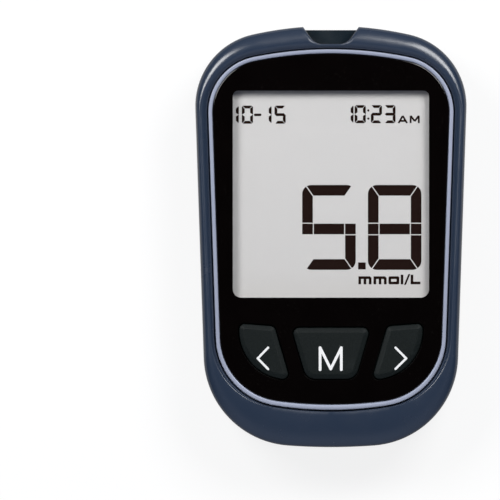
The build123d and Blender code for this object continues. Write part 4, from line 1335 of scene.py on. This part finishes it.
# ---- Contacts, and the nodes that stay as they are ----
for node in ("positive_plate", "negative_leaf", "bridge_leaf"):
    fitted(tidied(from_cad(node, f"{node}_metal"), 25), "meter", "spring_steel", [node])
for part in frame["record"]["subparts"]:
    materials = nodes[part["node"]].data.materials
    materials.clear()
    materials.append(finishes[part["material_slot"]])


# ---- Floor, light and camera ----
GLOSSY_SHARE = 0.5  # of the floor's whiteness that metal and gloss reflect


def sight(tree, path, glossy_share):
    """1 for what is seen straight or through the window, glossy_share where mirrored, 0 for mere light."""
    undimmed = sums(tree, "LESS_THAN", path.outputs["Diffuse Depth"], 0.5)
    glossy = sums(tree, "MULTIPLY", path.outputs["Is Glossy Ray"], glossy_share)
    mirrored = sums(tree, "MULTIPLY", glossy, undimmed)
    bounces = sums(tree, "ADD", path.outputs["Diffuse Depth"], path.outputs["Glossy Depth"])
    straight = sums(tree, "LESS_THAN", bounces, 0.5)
    through = sums(tree, "MULTIPLY", path.outputs["Is Transmission Ray"], straight)
    return sums(tree, "MAXIMUM", path.outputs["Is Camera Ray"], sums(tree, "MAXIMUM", through, mirrored))


def stage_finish():
    """Pale floor: white to the eye, with the object's shadow on it and a painted contact shadow close under
    it, and grey to the light it gives back.
    """
    material, tree, shader = blank("pale_floor")
    place = tree.nodes.new("ShaderNodeTexCoord").outputs["Object"]
    grain = placed_group(tree, grain_group, place, Fineness=900.0, Cloud_size=6.0)
    path = tree.nodes.new("ShaderNodeLightPath")
    grey = mixed(tree, grain["Cloud"], paint(150, 150, 152), paint(146, 146, 148))
    tone = mixed(tree, path.outputs["Is Camera Ray"], grey, paint(240, 240, 240))
    tree.links.new(tone, shader.inputs["Base Color"])
    shader.inputs["Roughness"].default_value = 0.8
    glow = tree.nodes.new("ShaderNodeEmission")
    glow.inputs["Strength"].default_value = 1.06
    # Ambient occlusion dims the floor's white glow close beside and under the meter: a painted contact
    # shadow, on top of the lamps' real shadow.
    open_air = tree.nodes.new("ShaderNodeAmbientOcclusion")
    open_air.inputs["Distance"].default_value = 12 * MM
    seen = sight(tree, path, GLOSSY_SHARE)
    openness = stretched(tree, open_air.outputs["AO"], 0.0, 0.5, 0.0, 0.8)
    share = sums(tree, "MULTIPLY", seen, openness)
    either = tree.nodes.new("ShaderNodeMixShader")
    tree.links.new(share, either.inputs["Fac"])
    tree.links.new(shader.outputs["BSDF"], either.inputs[1])
    tree.links.new(glow.outputs["Emission"], either.inputs[2])
    tree.links.new(either.outputs["Shader"], tree.nodes["Material Output"].inputs["Surface"])
    return material


FLOOR_HALF = 3000.0
floor_outline = block(-FLOOR_HALF, FLOOR_HALF, -FLOOR_HALF, FLOOR_HALF)
floor = made("floor", raised(floor_outline, 0.0), [(0, 1, 2, 3)])
floor.data.materials.append(stage_finish())


def softbox(name, azimuth, tilt, size, power, distance=0.6):
    """Square soft light aimed at the meter; azimuth from +X, tilt from straight up."""
    lamp = bpy.data.lights.new(name, "AREA")
    lamp.shape = "SQUARE"
    lamp.size = size
    lamp.energy = power
    turn, lean = radians(azimuth), radians(tilt)
    way = Vector((cos(turn) * sin(lean), sin(turn) * sin(lean), cos(lean)))
    holder = bpy.data.objects.new(name, lamp)
    holder.location = way * distance
    holder.rotation_euler = way.to_track_quat("Z", "Y").to_euler()
    scene.collection.objects.link(holder)


LAMP_TILT = 33
softbox("left_softbox", 142, LAMP_TILT, 0.21, 1.7)
softbox("right_softbox", 52, LAMP_TILT, 0.23, 2.0)

world = bpy.data.worlds.new("studio")
scene.world = world
world.use_nodes = True
tree = world.node_tree
sky = tree.nodes["Background"]
direction = tree.nodes.new("ShaderNodeTexCoord").outputs["Generated"]
way = tree.nodes.new("ShaderNodeSeparateXYZ")
tree.links.new(direction, way.inputs["Vector"])
beside = stretched(tree, sums(tree, "ABSOLUTE", way.outputs["X"]), 0.35, 0.75)
before = stretched(tree, way.outputs["Y"], -0.35, -0.75)
horizon = stretched(tree, way.outputs["Z"], 0.3, 0.1)
zenith = stretched(tree, way.outputs["Z"], 0.86, 0.96)
tone = mixed(tree, beside, paint(118, 122, 130), paint(34, 42, 50))
tone = mixed(tree, horizon, tone, paint(30, 34, 42))
tone = mixed(tree, before, tone, paint(150, 156, 172))
tone = mixed(tree, zenith, tone, paint(4, 4, 4))
path = tree.nodes.new("ShaderNodeLightPath")
seen = sight(tree, path, 0.0)
tree.links.new(mixed(tree, seen, tone, [1.0, 1.0, 1.0, 1.0]), sky.inputs["Color"])

camera = bpy.data.objects.new("camera", bpy.data.cameras.new("camera"))
camera.data.type = "ORTHO"
camera.data.ortho_scale = 0.11185
camera.location = (-0.0181, -0.0029, 0.5)
scene.collection.objects.link(camera)
scene.camera = camera
scene.view_settings.view_transform = "Standard"
